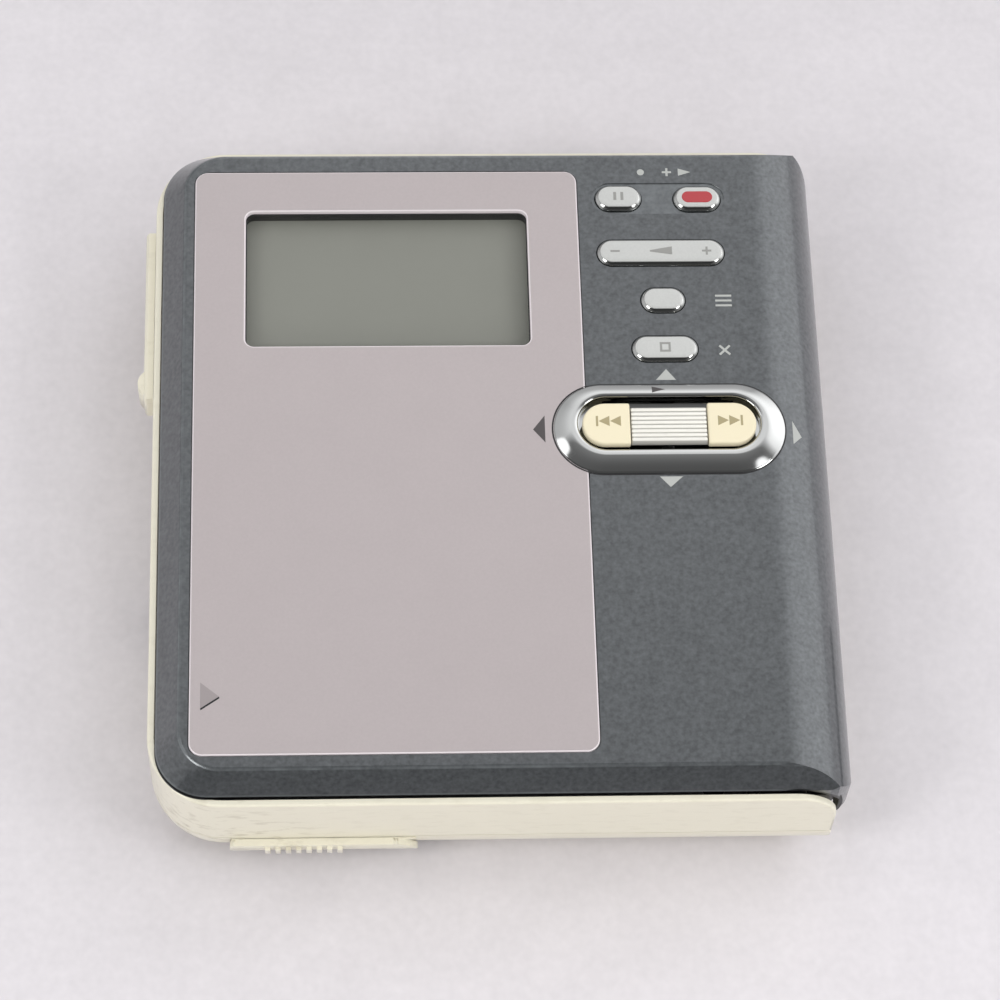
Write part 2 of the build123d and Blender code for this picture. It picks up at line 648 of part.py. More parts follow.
def make_bottom_cover() -> Part:
    """Tray with the rounded belly: screw bosses, battery bay, door recess and jack holes."""
    with BuildPart() as cover:
        add(case_form())
        add(cavity_form(WALL, WALL), mode=Mode.SUBTRACT)
        add(hinge_travel(), mode=Mode.SUBTRACT)
        split(bisect_by=Plane.XY.offset(SEAM_Z - SEAM_GAP / 2), keep=Keep.BOTTOM)
        for x, y in POSTS:
            half = POST_SIZE / 2
            with Locations((x, y, WALL / 2)):
                Cylinder(half, POST_FOOT_Z - WALL / 2, align=(Align.CENTER, Align.CENTER, Align.MIN))
        # battery bay: two side walls and an end wall
        bay_x = (BATTERY_X - BATTERY[0] / 2 - BATTERY_GAP, BATTERY_X + BATTERY[0] / 2 + BATTERY_GAP)
        bay_y = (BATTERY_Y, BATTERY_Y + BATTERY[1] + CONTACT_LENGTH)
        bay_z = (WALL / 2, BATTERY_Z + BATTERY[2] * BAY_SHARE)
        low_z = (WALL / 2, SLED_Z - BATTERY_GAP)
        add(slab((bay_x[0] - BAY_WALL, bay_x[0]), bay_y, bay_z))
        add(slab((bay_x[1], bay_x[1] + BAY_WALL), bay_y, low_z))
        add(slab((bay_x[0] - BAY_WALL, bay_x[1] + BAY_WALL), (bay_y[1], bay_y[1] + BAY_WALL), bay_z))
        # ribs that carry the battery and the main board
        for y in BATTERY_RIBS_Y:
            add(slab(bay_x, (y - BAY_WALL / 2, y + BAY_WALL / 2), (WALL / 2, BATTERY_Z)))
        for x, y in BOARD_POSTS:
            with Locations((x, y, WALL / 2)):
                Cylinder(BOARD_POST_R, BOARD_Z - WALL / 2, align=(Align.CENTER, Align.CENTER, Align.MIN))
        # bosses and bores of the door's pin, and the mouth of the bay
        for x in door_bosses():
            y, z = pin_yz()
            add(slab(x, (y, y + DOOR_BOSS[0]), (z - DOOR_BOSS[1] / 3, z + DOOR_BOSS[1] / 2)))
        add(slab((bay_x[0], bay_x[1]), (FRONT, BATTERY_Y + WALL), (BATTERY_Z - BATTERY_GAP, SEAM_Z)),
            mode=Mode.SUBTRACT)
        add(door_room(), mode=Mode.SUBTRACT)
        # sockets on the back and the left
        for x in list(JACK_X.values()):
            add(disc_along_y(JACK_COLLAR_R + RUN_GAP, (CASE_DEPTH / 2 - BELLY_R, CASE_DEPTH / 2), x, JACK_Z),
                mode=Mode.SUBTRACT)
        behind = (CASE_DEPTH / 2 - BELLY_R, CASE_DEPTH / 2)
        add(disc_along_y(DC_COLLAR_R + RUN_GAP, behind, DC_JACK_X, JACK_Z), mode=Mode.SUBTRACT)
        half_w = USB_SIZE[1] / 2 + SLIDE_GAP
        half_h = USB_SIZE[2] / 2 + SLIDE_GAP
        usb_y = (USB_Y - half_w, USB_Y + half_w)
        add(slab((LEFT, LEFT + BELLY_R), usb_y, (JACK_Z - half_h, JACK_Z + half_h)),
            mode=Mode.SUBTRACT)
        for x, y in POSTS:
            hole = screw_hole(x, y, SCREW_SUNK, POST_FOOT_Z + POST_GRIP - SCREW_SUNK, up=True)
            add(hole, mode=Mode.SUBTRACT)
    return cover.part


def pin_yz() -> tuple:
    """Where the battery door's pin lies, across and above the table."""
    return FRONT + DOOR_PIN_IN, DOOR_PIN_Z


def disc_along_x(radius: float, x: tuple, y: float, z: float) -> Part:
    """Round bar along X at y, z."""
    with BuildPart(mode=Mode.PRIVATE) as bar:
        with BuildSketch(Plane.YZ.offset(x[0])):
            with Locations((y, z)):
                Circle(radius)
        extrude(amount=width(x))
    return bar.part


def door_knuckles() -> list:
    """Spans along X of the door's two knuckles."""
    return [(DOOR_X[0], DOOR_X[0] + DOOR_KNUCKLE_L), (DOOR_X[1] - DOOR_KNUCKLE_L, DOOR_X[1])]


def door_bosses() -> list:
    """Spans along X of the cover's two bosses that hold the door's pin."""
    reach = DOOR_PIN_SEAT + DOOR_SLIDE + DOOR_GAP
    left = DOOR_X[0] - DOOR_GAP
    right = DOOR_X[1] + DOOR_SLIDE + DOOR_GAP
    return [(left - reach, left), (right, right + reach)]


def door_room() -> Part:
    """Room for the door's knuckles as they slide and turn, and the bore of its pin."""
    y, z = pin_yz()
    bosses = door_bosses()
    with BuildPart(mode=Mode.PRIVATE) as room:
        for low, high in door_knuckles():
            add(disc_along_x(DOOR_ROOM_R, (low - DOOR_GAP, high + DOOR_SLIDE + DOOR_GAP), y, z))
        add(disc_along_x(DOOR_PIN_R + RUN_GAP, (bosses[0][0], bosses[1][1]), y, z))
    return room.part


def make_battery_door_pin() -> Part:
    """Pin of the battery door; it slides with the door."""
    bosses = door_bosses()
    y, z = pin_yz()
    span = (bosses[0][0] + DOOR_GAP, bosses[1][0] + DOOR_PIN_SEAT)
    with BuildPart() as pin:
        add(disc_along_x(DOOR_PIN_R, span, y, z))
    return pin.part


def make_battery_door() -> Part:
    """Curved door that lies on the belly, with grip ribs and two knuckles."""
    y, z = pin_yz()
    outer = belly_block(-DOOR_PROUD, LIP_Z)
    with BuildPart() as door:
        with BuildSketch(Plane.XZ.offset(-FRONT - BELLY_R)) as outline:
            with Locations((middle(DOOR_X), middle(DOOR_Z))):
                Rectangle(width(DOOR_X), width(DOOR_Z))
            for upper in (False, True):
                round_right_corner(outline, upper, DOOR_END_R)
            fillet(outline.vertices().group_by(Axis.X)[0], DOOR_START_R)
        extrude(amount=BELLY_R + 2 * DOOR_PROUD)
        add(outer, mode=Mode.INTERSECT)
        for k in range(DOOR_RIBS):
            x = DOOR_RIB_START + k * DOOR_RIB_PITCH
            rib = (x - DOOR_RIB_PITCH / 4, x + DOOR_RIB_PITCH / 4)
            block = slab(rib, (FRONT - 2 * DOOR_PROUD, FRONT + BELLY_R / 2), (DOOR_Z[0] + 1, DOOR_Z[1] - 0.5))
            add(block & belly_block(-DOOR_PROUD - DOOR_RIB_PROUD, LIP_Z))
        add(belly_block(-DOOR_GAP, LIP_Z), mode=Mode.SUBTRACT)
        for low, high in door_knuckles():
            add(disc_along_x(DOOR_PIN_R + DOOR_KNUCKLE_T, (low, high), y, z))
            add(slab((low, high), (y - DOOR_ROOM_R + DOOR_GAP, y), (DOOR_Z[0], z + DOOR_PIN_R)))
            add(disc_along_x(DOOR_PIN_R + RUN_GAP, (low, high), y, z), mode=Mode.SUBTRACT)
    return door.part


def make_deck_plate() -> Part:
    """Pressed plate that carries the mechanism, with openings for spindle, sled and posts."""
    with BuildPart() as plate:
        add(cavity_form(WALL + DECK_EDGE, DECK_Z) & slab((-FAR, FAR), (-FAR, FAR), (DECK_Z, DECK_Z + DECK_T)))
        end_x = HINGE_X + math.sqrt((HINGE_END_R - END_WALL) ** 2 - (HINGE_Z - DECK_Z) ** 2) - DECK_EDGE
        add(slab((end_x, FAR), (-FAR, FAR), (DECK_Z, DECK_Z + DECK_T)), mode=Mode.SUBTRACT)
        for side in (-1, 1):
            boss = sorted((side * (BOSS_Y[0] - DECK_EDGE), side * FAR))
            notch = slab((HINGE_X - BOSS_R - DECK_EDGE, FAR), boss, (DECK_Z, DECK_Z + DECK_T))
            add(notch, mode=Mode.SUBTRACT)
        for x, y in POSTS:
            notch = POST_WEB / 2 + DECK_EDGE
            if abs(x) > abs(y) - POST_SIZE:
                edge = sorted((x - POST_SIZE / 2, -FAR))
                add(slab(edge, (y - notch, y + notch), (DECK_Z, CASE_HEIGHT)), mode=Mode.SUBTRACT)
            else:
                edge = sorted((y + math.copysign(POST_SIZE / 2, y), math.copysign(FAR, y)))
                add(slab((x - notch, x + notch), edge, (DECK_Z, CASE_HEIGHT)), mode=Mode.SUBTRACT)
            add(screw_hole(x, y, DECK_Z + DECK_T, DECK_T + POST_GRIP, up=False), mode=Mode.SUBTRACT)
        rods = ROD_SPAN / 2 + ROD_R
        with BuildSketch(Plane.XY.offset(DECK_Z)):
            with Locations((SPINDLE_X, 0)):
                Circle(TURNTABLE_R + DECK_OPENING_GAP)
            with Locations((SPINDLE_X, middle(SLED_WINDOW_Y))):
                RectangleRounded(2 * rods, width(SLED_WINDOW_Y), DECK_EDGE)
        extrude(amount=DECK_T, mode=Mode.SUBTRACT)
        # turned-down tongues that hold the guide rods
        for y in ROD_Y:
            for x in rod_x():
                with Locations((x, y, DECK_Z)):
                    Box(TONGUE[0], TONGUE[1], TONGUE[2], align=(Align.CENTER, Align.CENTER, Align.MAX))
                add(disc_along_y(ROD_R, (y - TONGUE[1], y + TONGUE[1]), x, ROD_Z), mode=Mode.SUBTRACT)
    return plate.part


def rod_x() -> tuple:
    """Places of the two guide rods along X."""
    return SPINDLE_X - ROD_SPAN / 2, SPINDLE_X + ROD_SPAN / 2


def make_guide_rods() -> Part:
    """The two ground rods that the sled runs on."""
    with BuildPart() as rods:
        for x in rod_x():
            add(disc_along_y(ROD_R, (ROD_Y[0] - TONGUE[1] / 2, ROD_Y[1] + TONGUE[1] / 2), x, ROD_Z))
    return rods.part


def make_hinge_pins() -> Part:
    """The two short pins on which lid and disc holder turn."""
    with BuildPart() as pins:
        for side in (-1, 1):
            span = sorted((side * (HOLDER_HALF_Y - PIN_END), side * (END_FACE_Y + PIN_SEAT)))
            add(disc_along_y(PIN_R, span))
    return pins.part


def make_deck_screws() -> Part:
    """Screws from above that hold the deck plate on the posts."""
    with BuildPart() as screws:
        for x, y in POSTS:
            add(screw(x, y, DECK_Z + DECK_T, DECK_T + POST_GRIP, up=False))
    return screws.part


def make_bottom_screws() -> Part:
    """Screws from below that hold the bottom cover on the posts."""
    with BuildPart() as screws:
        for x, y in POSTS:
            add(screw(x, y, SCREW_SUNK, POST_FOOT_Z + POST_GRIP - SCREW_SUNK, up=True))
    return screws.part


def make_main_board() -> Part:
    """Circuit board on the right of the battery, with its larger chips."""
    top = BOARD_Z + BOARD_T
    with BuildPart() as board:
        with BuildSketch(Plane.XY.offset(BOARD_Z)):
            with Locations((middle(BOARD_X), middle(BOARD_Y))):
                RectangleRounded(width(BOARD_X), width(BOARD_Y), BOARD_R)
        extrude(amount=BOARD_T)
        for x, y, size_x, size_y, height in BOARD_CHIPS:
            with Locations((x, y, top)):
                Box(size_x, size_y, height, align=(Align.CENTER, Align.CENTER, Align.MIN))
        for x, y in BOARD_POSTS:
            with Locations((x, y, BOARD_Z)):
                Cylinder(SCREW_SHANK_R, 2 * BOARD_T, mode=Mode.SUBTRACT)
    return board.part


def make_battery() -> Part:
    """Flat rectangular cell with rounded long edges."""
    with BuildPart() as cell:
        with BuildSketch(Plane.XZ.offset(-BATTERY_Y)):
            with Locations((BATTERY_X, BATTERY_Z + BATTERY[2] / 2)):
                RectangleRounded(BATTERY[0], BATTERY[2], BATTERY_R)
        extrude(amount=-BATTERY[1])
    return cell.part


def make_battery_contact() -> Part:
    """Folded spring contact behind the battery."""
    back = BATTERY_Y + BATTERY[1]
    reach_left, reach_right, margin = CONTACT_SHAPE
    z = (BATTERY_Z + margin, BATTERY_Z + BATTERY[2] - margin)
    leaf = CONTACT_T
    with BuildPart() as contact:
        with BuildSketch(Plane.XY.offset(z[0])):
            with BuildLine():
                Polyline(
                    (BATTERY_X - reach_left, back + CONTACT_LENGTH - leaf),
                    (BATTERY_X + reach_right - margin, back + CONTACT_LENGTH - leaf),
                    (BATTERY_X - reach_left + margin, back + BATTERY_GAP / 2 + leaf),
                    (BATTERY_X - reach_left + 2 * margin, back + BATTERY_GAP / 2),
                    (BATTERY_X + reach_right, back + CONTACT_LENGTH - leaf),
                    (BATTERY_X + reach_right, back + CONTACT_LENGTH),
                    (BATTERY_X - reach_left, back + CONTACT_LENGTH),
                    close=True,
                )
            make_face()
        extrude(amount=width(z))
    return contact.part


def make_jack(x: float, bore: float, collar: float) -> Part:
    """Round socket: a square body inside the cover and a collar that fills the hole in the wall."""
    y_out = CASE_DEPTH / 2
    y_in = y_out - JACK_BODY[1]
    y_wall = y_out - JACK_COLLAR_L
    with BuildPart() as jack:
        add(slab((x - JACK_BODY[0] / 2, x + JACK_BODY[0] / 2), (y_in, y_wall),
                 (JACK_Z - JACK_BODY[2] / 2, JACK_Z + JACK_BODY[2] / 2)))
        add(disc_along_y(collar, (y_wall, y_out), x, JACK_Z))
        add(belly_block(JACK_SUNK, LIP_Z), mode=Mode.INTERSECT)
        add(disc_along_y(bore, (y_in + WALL, y_out + WALL), x, JACK_Z), mode=Mode.SUBTRACT)
    return jack.part


def make_usb_socket() -> Part:
    """Metal-shelled data socket in the left wall."""
    x = (LEFT, LEFT + USB_SIZE[0])
    y = (USB_Y - USB_SIZE[1] / 2, USB_Y + USB_SIZE[1] / 2)
    z = (JACK_Z - USB_SIZE[2] / 2, JACK_Z + USB_SIZE[2] / 2)
    shell = USB_SHELL
    with BuildPart() as socket:
        add(slab(x, y, z))
        fillet(socket.edges().filter_by(Axis.X), shell)
        add(belly_block(JACK_SUNK, LIP_Z), mode=Mode.INTERSECT)
        add(slab((x[0] - shell, x[1] - 2), (y[0] + shell, y[1] - shell), (z[0] + shell, z[1] - shell)),
            mode=Mode.SUBTRACT)
        add(slab((x[0] + 1.8, x[1] - 1), (y[0] + 1.4, y[1] - 1.4), (JACK_Z - shell, JACK_Z + shell)))
    return socket.part


def make_spindle_motor() -> Part:
    """Flat motor under the deck, with a bore for the turntable's shaft."""
    low, high = MOTOR_Z
    with BuildPart() as motor:
        with BuildSketch(Plane.XZ):
            with BuildLine():
                Polyline(
                    (SPINDLE_X + SHAFT_R + RUN_GAP, low),
                    (SPINDLE_X + MOTOR_R, low),
                    (SPINDLE_X + MOTOR_R, high - MOTOR_SHOULDER[1]),
                    (SPINDLE_X + MOTOR_R - MOTOR_SHOULDER[0], high - MOTOR_SHOULDER[2]),
                    (SPINDLE_X + MOTOR_NOSE_R[1], high - MOTOR_SHOULDER[2]),
                    (SPINDLE_X + MOTOR_NOSE_R[0], high),
                    (SPINDLE_X + SHAFT_R + RUN_GAP, high),
                    close=True,
                )
            make_face()
        revolve(axis=Axis((SPINDLE_X, 0, 0), (0, 0, 1)))
    return motor.part


def make_turntable() -> Part:
    """Disc seat with a centring nose, a magnet well and its shaft."""
    with BuildPart() as table:
        with BuildSketch(Plane.XZ):
            with BuildLine():
                Polyline(
                    (SPINDLE_X, MOTOR_Z[0] + SHAFT_END),
                    (SPINDLE_X + SHAFT_R, MOTOR_Z[0] + SHAFT_END),
                    (SPINDLE_X + SHAFT_R, TURNTABLE_Z),
                    (SPINDLE_X + TURNTABLE_R, TURNTABLE_Z),
                    (SPINDLE_X + TURNTABLE_R, SEAT_Z - SEAT_STEP * 1.5),
                    (SPINDLE_X + TURNTABLE_R - SEAT_STEP, SEAT_Z - SEAT_STEP),
                    (SPINDLE_X + SEAT_R[1], SEAT_Z - SEAT_STEP),
                    (SPINDLE_X + SEAT_R[1], SEAT_Z),
                    (SPINDLE_X + SEAT_R[0], SEAT_Z),
                    (SPINDLE_X + SEAT_R[0], SEAT_Z - SEAT_STEP),
                    (SPINDLE_X + NOSE_R, SEAT_Z - SEAT_STEP),
                    (SPINDLE_X + NOSE_R, SEAT_Z),
                    (SPINDLE_X + NOSE_R - SEAT_STEP, NOSE_Z),
                    (SPINDLE_X, NOSE_Z),
                    close=True,
                )
            make_face()
        revolve(axis=Axis((SPINDLE_X, 0, 0), (0, 0, 1)))
    return table.part


def make_clamp_magnet() -> Part:
    """Ring magnet that lies in the turntable between nose and seat."""
    with BuildPart() as magnet:
        with BuildSketch(Plane.XY.offset(SEAT_Z - SEAT_STEP)):
            with Locations((SPINDLE_X, 0)):
                Circle(SEAT_R[0] - RUN_GAP)
                Circle(NOSE_R + RUN_GAP, mode=Mode.SUBTRACT)
        extrude(amount=MAGNET_T)
    return magnet.part


def make_optical_pickup() -> Part:
    """Sled with bearings for the two rods, a lens well and the half nut for the screw."""
    length, depth, height = SLED_SIZE
    rod_left, rod_right = rod_x()
    with BuildPart() as sled:
        with Locations((SPINDLE_X, LENS_Y, SLED_Z)):
            Box(length, depth, height, align=(Align.CENTER, Align.CENTER, Align.MIN))
        chamfer(sled.edges().filter_by(Axis.Z), SLED_CHAMFER)
        for x in (rod_left, rod_right):
            add(disc_along_y(SLED_BEARING_R, (LENS_Y - depth / 2, LENS_Y + depth / 2), x, ROD_Z))
        for x in (rod_left, rod_right):
            add(disc_along_y(ROD_R + RUN_GAP, (LENS_Y - depth, LENS_Y + depth), x, ROD_Z), mode=Mode.SUBTRACT)
        nut_x = (rod_right, SCREW_X - SCREW_R - SWING_GAP)
        add(slab((nut_x[0] + SLED_BEARING_R * 0.75, nut_x[1]), (LENS_Y - NUT_HALF_Y, LENS_Y + NUT_HALF_Y),
                 (SCREW_Z - NUT_HALF_Z, SCREW_Z + NUT_HALF_Z)))
        with Locations((SPINDLE_X, LENS_Y, SLED_Z + height)):
            Cylinder(LENS_R + WELL_R, WELL_DEPTH, align=(Align.CENTER, Align.CENTER, Align.MAX),
                     mode=Mode.SUBTRACT)
    return sled.part


def make_lens_holder() -> Part:
    """Moving coil frame that carries the lens."""
    top = SLED_Z + SLED_SIZE[2]
    with BuildPart() as holder:
        with Locations((SPINDLE_X, LENS_Y, top - WELL_DEPTH)):
            Cylinder(LENS_R + LENS_RING_T, LENS_RING_H, align=(Align.CENTER, Align.CENTER, Align.MIN))
            Cylinder(LENS_R, LENS_RING_H, align=(Align.CENTER, Align.CENTER, Align.MIN), mode=Mode.SUBTRACT)
    return holder.part


def make_objective_lens() -> Part:
    """Small domed lens."""
    top = SLED_Z + SLED_SIZE[2]
    with BuildPart() as lens:
        with Locations((SPINDLE_X, LENS_Y, top - WELL_DEPTH)):
            Cylinder(LENS_R, LENS_H, align=(Align.CENTER, Align.CENTER, Align.MIN))
        fillet(lens.faces().sort_by(Axis.Z)[-1].edges(), LENS_ROUND)
    return lens.part


def gear(teeth: int, turn: float, x: float, z: float, bore: float) -> Part:
    """Spur gear on an axis along Y at x, z, its teeth turned by turn degrees."""
    pitch_r = GEAR_MODULE * teeth / 2
    root_r = pitch_r - 1.25 * GEAR_MODULE
    tip_r = pitch_r + TOOTH_TOP * GEAR_MODULE
    step = 2 * math.pi / teeth
    points = []
    for k in range(teeth):
        middle_angle = math.radians(turn) + k * step
        corners = ((root_r, -TOOTH_ROOT), (tip_r, -TOOTH_TIP), (tip_r, TOOTH_TIP), (root_r, TOOTH_ROOT))
        for radius, share in corners:
            angle = middle_angle + share * GEAR_MODULE / pitch_r
            points.append((x + radius * math.cos(angle), z + radius * math.sin(angle)))
    with BuildPart(mode=Mode.PRIVATE) as wheel:
        with BuildSketch(Plane.XZ.offset(-GEAR_Y - GEAR_T)):
            with BuildLine():
                Polyline(*points, close=True)
            make_face()
            if bore > 0:
                with Locations((x, z)):
                    Circle(bore, mode=Mode.SUBTRACT)
        extrude(amount=GEAR_T)
    return wheel.part


def pinion_centre() -> tuple:
    """Where the sled motor's pinion lies: one centre distance to the right of the screw."""
    return SCREW_X + GEAR_MODULE * (SCREW_TEETH + PINION_TEETH) / 2 + GEAR_SLACK, SCREW_Z


def make_lead_screw() -> Part:
    """Screw shaft that drives the sled, plain between its journals."""
    with BuildPart() as shaft:
        low, high = SCREW_Y[0], GEAR_Y + GEAR_T + JOURNAL_L[1]
        add(disc_along_y(SCREW_R, (low, high), SCREW_X, SCREW_Z))
        add(disc_along_y(SCREW_R / 2, (low - JOURNAL_L[0], high + JOURNAL_L[0]), SCREW_X, SCREW_Z))
    return shaft.part


def make_screw_gear() -> Part:
    """Gear pressed on the lead screw."""
    with BuildPart() as wheel:
        add(gear(SCREW_TEETH, 0, SCREW_X, SCREW_Z, SCREW_R))
    return wheel.part


def make_motor_pinion() -> Part:
    """Pinion on the sled motor's shaft, its tooth gap facing the gear."""
    x, z = pinion_centre()
    with BuildPart() as wheel:
        add(gear(PINION_TEETH, 180 + 180 / PINION_TEETH, x, z, 0))
        add(disc_along_y(PINION_BORE, (GEAR_Y - PINION_SHAFT, GEAR_Y + GEAR_T + JOURNAL_L[1]), x, z))
    return wheel.part


def make_screw_brackets() -> Part:
    """Two sheet brackets under the deck that hold the lead screw's journals."""
    with BuildPart() as brackets:
        half = BRACKET_HALF
        for y in (SCREW_Y[0] - BRACKET_T - JOURNAL_L[1], GEAR_Y + GEAR_T + 2 * JOURNAL_L[1]):
            span = (y, y + BRACKET_T)
            add(slab((SCREW_X - half, SCREW_X + half), span, (SCREW_Z - half, DECK_Z)))
            add(disc_along_y(SCREW_R / 2 + RUN_GAP, span, SCREW_X, SCREW_Z), mode=Mode.SUBTRACT)
    return brackets.part


def make_sled_motor() -> Part:
    """Small round motor beside the screw, flattened top and bottom."""
    x, z = pinion_centre()
    y = (GEAR_Y - PINION_GAP - SLED_MOTOR_L, GEAR_Y - PINION_GAP)
    flat = SLED_MOTOR_R - SLED_MOTOR_FLAT
    with BuildPart() as motor:
        add(disc_along_y(SLED_MOTOR_R, y, x, z))
        height = (z - SLED_MOTOR_FLAT, z + SLED_MOTOR_FLAT + flat / 2)
        add(slab((x - SLED_MOTOR_R, x + SLED_MOTOR_R), y, height),
            mode=Mode.INTERSECT)
        add(disc_along_y(PINION_BORE + RUN_GAP, (y[0] + 1.0, y[1] + 1), x, z), mode=Mode.SUBTRACT)
    return motor.part


def make_disc_holder() -> Part:
    """Sheet holder: a top plate, two side rails with lips under the cartridge, and an end stop."""
    x = (CARTRIDGE_X - HOLDER_T, CARTRIDGE_END + CARTRIDGE_GAP + HOLDER_T)
    outer_y = HOLDER_HALF_Y + HOLDER_T
    low, high = HOLDER_Z
    with BuildPart() as holder:
        add(slab(x, (-outer_y, outer_y), (low, high + HOLDER_T)))
        add(slab((x[0] - 1, x[1] - HOLDER_T), (-HOLDER_HALF_Y, HOLDER_HALF_Y), (low + HOLDER_T, high)),
            mode=Mode.SUBTRACT)
        inner_y = HOLDER_HALF_Y - HOLDER_LIP
        add(slab((x[0] - 1, x[1] + 1), (-inner_y, inner_y), (low - 1, low + 2 * HOLDER_T)),
            mode=Mode.SUBTRACT)
        # windows in the top plate: one over the recording side, one to save weight
        with BuildSketch(Plane.XY.offset(high)):
            for y, length, breadth in HOLDER_WINDOWS:
                with Locations((SPINDLE_X, y)):
                    RectangleRounded(length, breadth, HOLDER_WINDOW_R)
        extrude(amount=HOLDER_T, mode=Mode.SUBTRACT)
        # notched mouth
        for side in (-1, 1):
            span = sorted((side * (HOLDER_HALF_Y - HOLDER_NOTCH[1]), side * HOLDER_NOTCH[1]))
            add(slab((x[0] - 1, x[0] + HOLDER_NOTCH[0]), span, (high - 1, high + 1)), mode=Mode.SUBTRACT)
        for side in (-1, 1):
            bore = sorted((side * (HOLDER_HALF_Y - 1), side * (outer_y + 1)))
            add(disc_along_y(PIN_R + RUN_GAP, bore), mode=Mode.SUBTRACT)
    return holder.part


def make_cartridge_springs() -> Part:
    """Leaf springs under the holder's top plate that press the cartridge down."""
    high = HOLDER_Z[1]
    with BuildPart() as springs:
        for side in (-1, 1):
            y = side * (HOLDER_HALF_Y - SPRING_IN)
            add(slab(SPRING_X, (y - SPRING_WIDTH / 2, y + SPRING_WIDTH / 2), (high - SPRING_T, high)))
    return springs.part


# ---------------------------------------------------------------- lid parts
def key_space(key: tuple, grow: float, z: tuple) -> Part:
    """Stadium block on a key's outline grown by grow."""
    return stadium(key[2] + 2 * grow, key[3] + 2 * grow, z, key[0], key[1])


def ring_space(size: tuple, grow: float, z: tuple) -> Part:
    """Stadium block on one of the bezel's outlines grown by grow."""
    return stadium(size[0] + 2 * grow, size[1] + 2 * grow, z, KEY_COLUMN_X, RING_Y)


def panel_form(grow: float, z: tuple) -> Part:
    """Outline of the front panel grown by grow, cut away round the bezel."""
    with BuildPart(mode=Mode.PRIVATE) as form:
        with BuildSketch(Plane.XY.offset(z[0])):
            with Locations((middle(PANEL_X), middle(PANEL_Y))):
                RectangleRounded(width(PANEL_X) + 2 * grow, width(PANEL_Y) + 2 * grow, PANEL_R + grow)
            with Locations((KEY_COLUMN_X, RING_Y)):
                SlotOverall(RING_SIZE[0] + 2 * (PANEL_GAP - grow), RING_SIZE[1] + 2 * (PANEL_GAP - grow),
                            mode=Mode.SUBTRACT)
        extrude(amount=width(z))
    return form.part


def window_form(grow: float, z: tuple) -> Part:
    """Block on the display opening's outline grown by grow."""
    with BuildPart(mode=Mode.PRIVATE) as form:
        with BuildSketch(Plane.XY.offset(z[0])):
            with Locations((middle(WINDOW_X), middle(WINDOW_Y))):
                RectangleRounded(width(WINDOW_X) + 2 * grow, width(WINDOW_Y) + 2 * grow, WINDOW_R)
        extrude(amount=width(z))
    return form.part


def lid_ears() -> Part:
    """The two ears on the hinge axis and the webs that join them to the lid's skin."""
    with BuildPart(mode=Mode.PRIVATE) as ears:
        for side in (-1, 1):
            span = sorted((side * EAR_Y, side * (EAR_Y + EAR_T)))
            add(slab((HINGE_X - EAR_R, HINGE_X + EAR_R), span, (HINGE_Z, CASE_HEIGHT)))
        add(lid_form(LID_WALL / 2, ROLL_R - ROLL_T / 2), mode=Mode.INTERSECT)
        for side in (-1, 1):
            span = sorted((side * EAR_Y, side * (EAR_Y + EAR_T)))
            add(disc_along_y(EAR_R, span))
            add(disc_along_y(PIN_R + RUN_GAP, span), mode=Mode.SUBTRACT)
    return ears.part


def make_lid_shell() -> Part:
    """Metal lid: flat top with sloping edges, rolled hinge end, ears, openings and screw bosses."""
    ends = (-CASE_DEPTH, CASE_DEPTH)
    seat = CASE_HEIGHT + PANEL_PROUD - PANEL_T
    through = (SKIN_Z - LID_WALL, CASE_HEIGHT + LID_WALL)
    with BuildPart() as lid:
        add(lid_form(0, ROLL_R))
        add(lid_form(LID_WALL, ROLL_R - ROLL_T), mode=Mode.SUBTRACT)
        add(parting_form(), mode=Mode.SUBTRACT)
        add(hinge_sector(0, ROLL_R + SWING_GAP, ROLL_START_ANGLE, ROLL_END_ANGLE, ends), mode=Mode.SUBTRACT)
        add(lid_ears())
        add(panel_form(PANEL_GAP, (seat, CASE_HEIGHT + LID_WALL)), mode=Mode.SUBTRACT)
        add(window_form(0, through), mode=Mode.SUBTRACT)
        add(ring_space(RING_BODY, KEY_GAP / 2, through), mode=Mode.SUBTRACT)
        well = (PAUSE_KEY[0] - PAUSE_KEY[2] / 2, RECORD_KEY[0] + RECORD_KEY[2] / 2)
        with BuildSketch(Plane.XY.offset(CASE_HEIGHT - KEY_WELL_DEPTH)):
            with Locations((middle(well), PAUSE_KEY[1])):
                RectangleRounded(width(well) + 0.9, PAUSE_KEY[3] + 0.8, (PAUSE_KEY[3] + 0.8) / 2 - 0.01)
        extrude(amount=LID_WALL, mode=Mode.SUBTRACT)
        for key in (PAUSE_KEY, RECORD_KEY, VOLUME_KEY, SEARCH_KEY, CANCEL_KEY):
            add(key_space(key, KEY_GAP, through), mode=Mode.SUBTRACT)
        for x, y in LID_BOSSES:
            with Locations((x, y, TRAY_Z + TRAY_T)):
                Cylinder(LID_BOSS_R, SKIN_Z - TRAY_Z - TRAY_T + LID_WALL / 4,
                         align=(Align.CENTER, Align.CENTER, Align.MIN))
            add(screw_hole(x, y, TRAY_Z, LID_SCREW_L, up=True), mode=Mode.SUBTRACT)
    return lid.part


def triangle(points: list, z: float, height: float) -> Part:
    """Small three-sided mark, raised or cut."""
    with BuildPart(mode=Mode.PRIVATE) as mark:
        with BuildSketch(Plane.XY.offset(z)):
            with BuildLine():
                Polyline(*points, close=True)
            make_face()
        extrude(amount=height)
    return mark.part


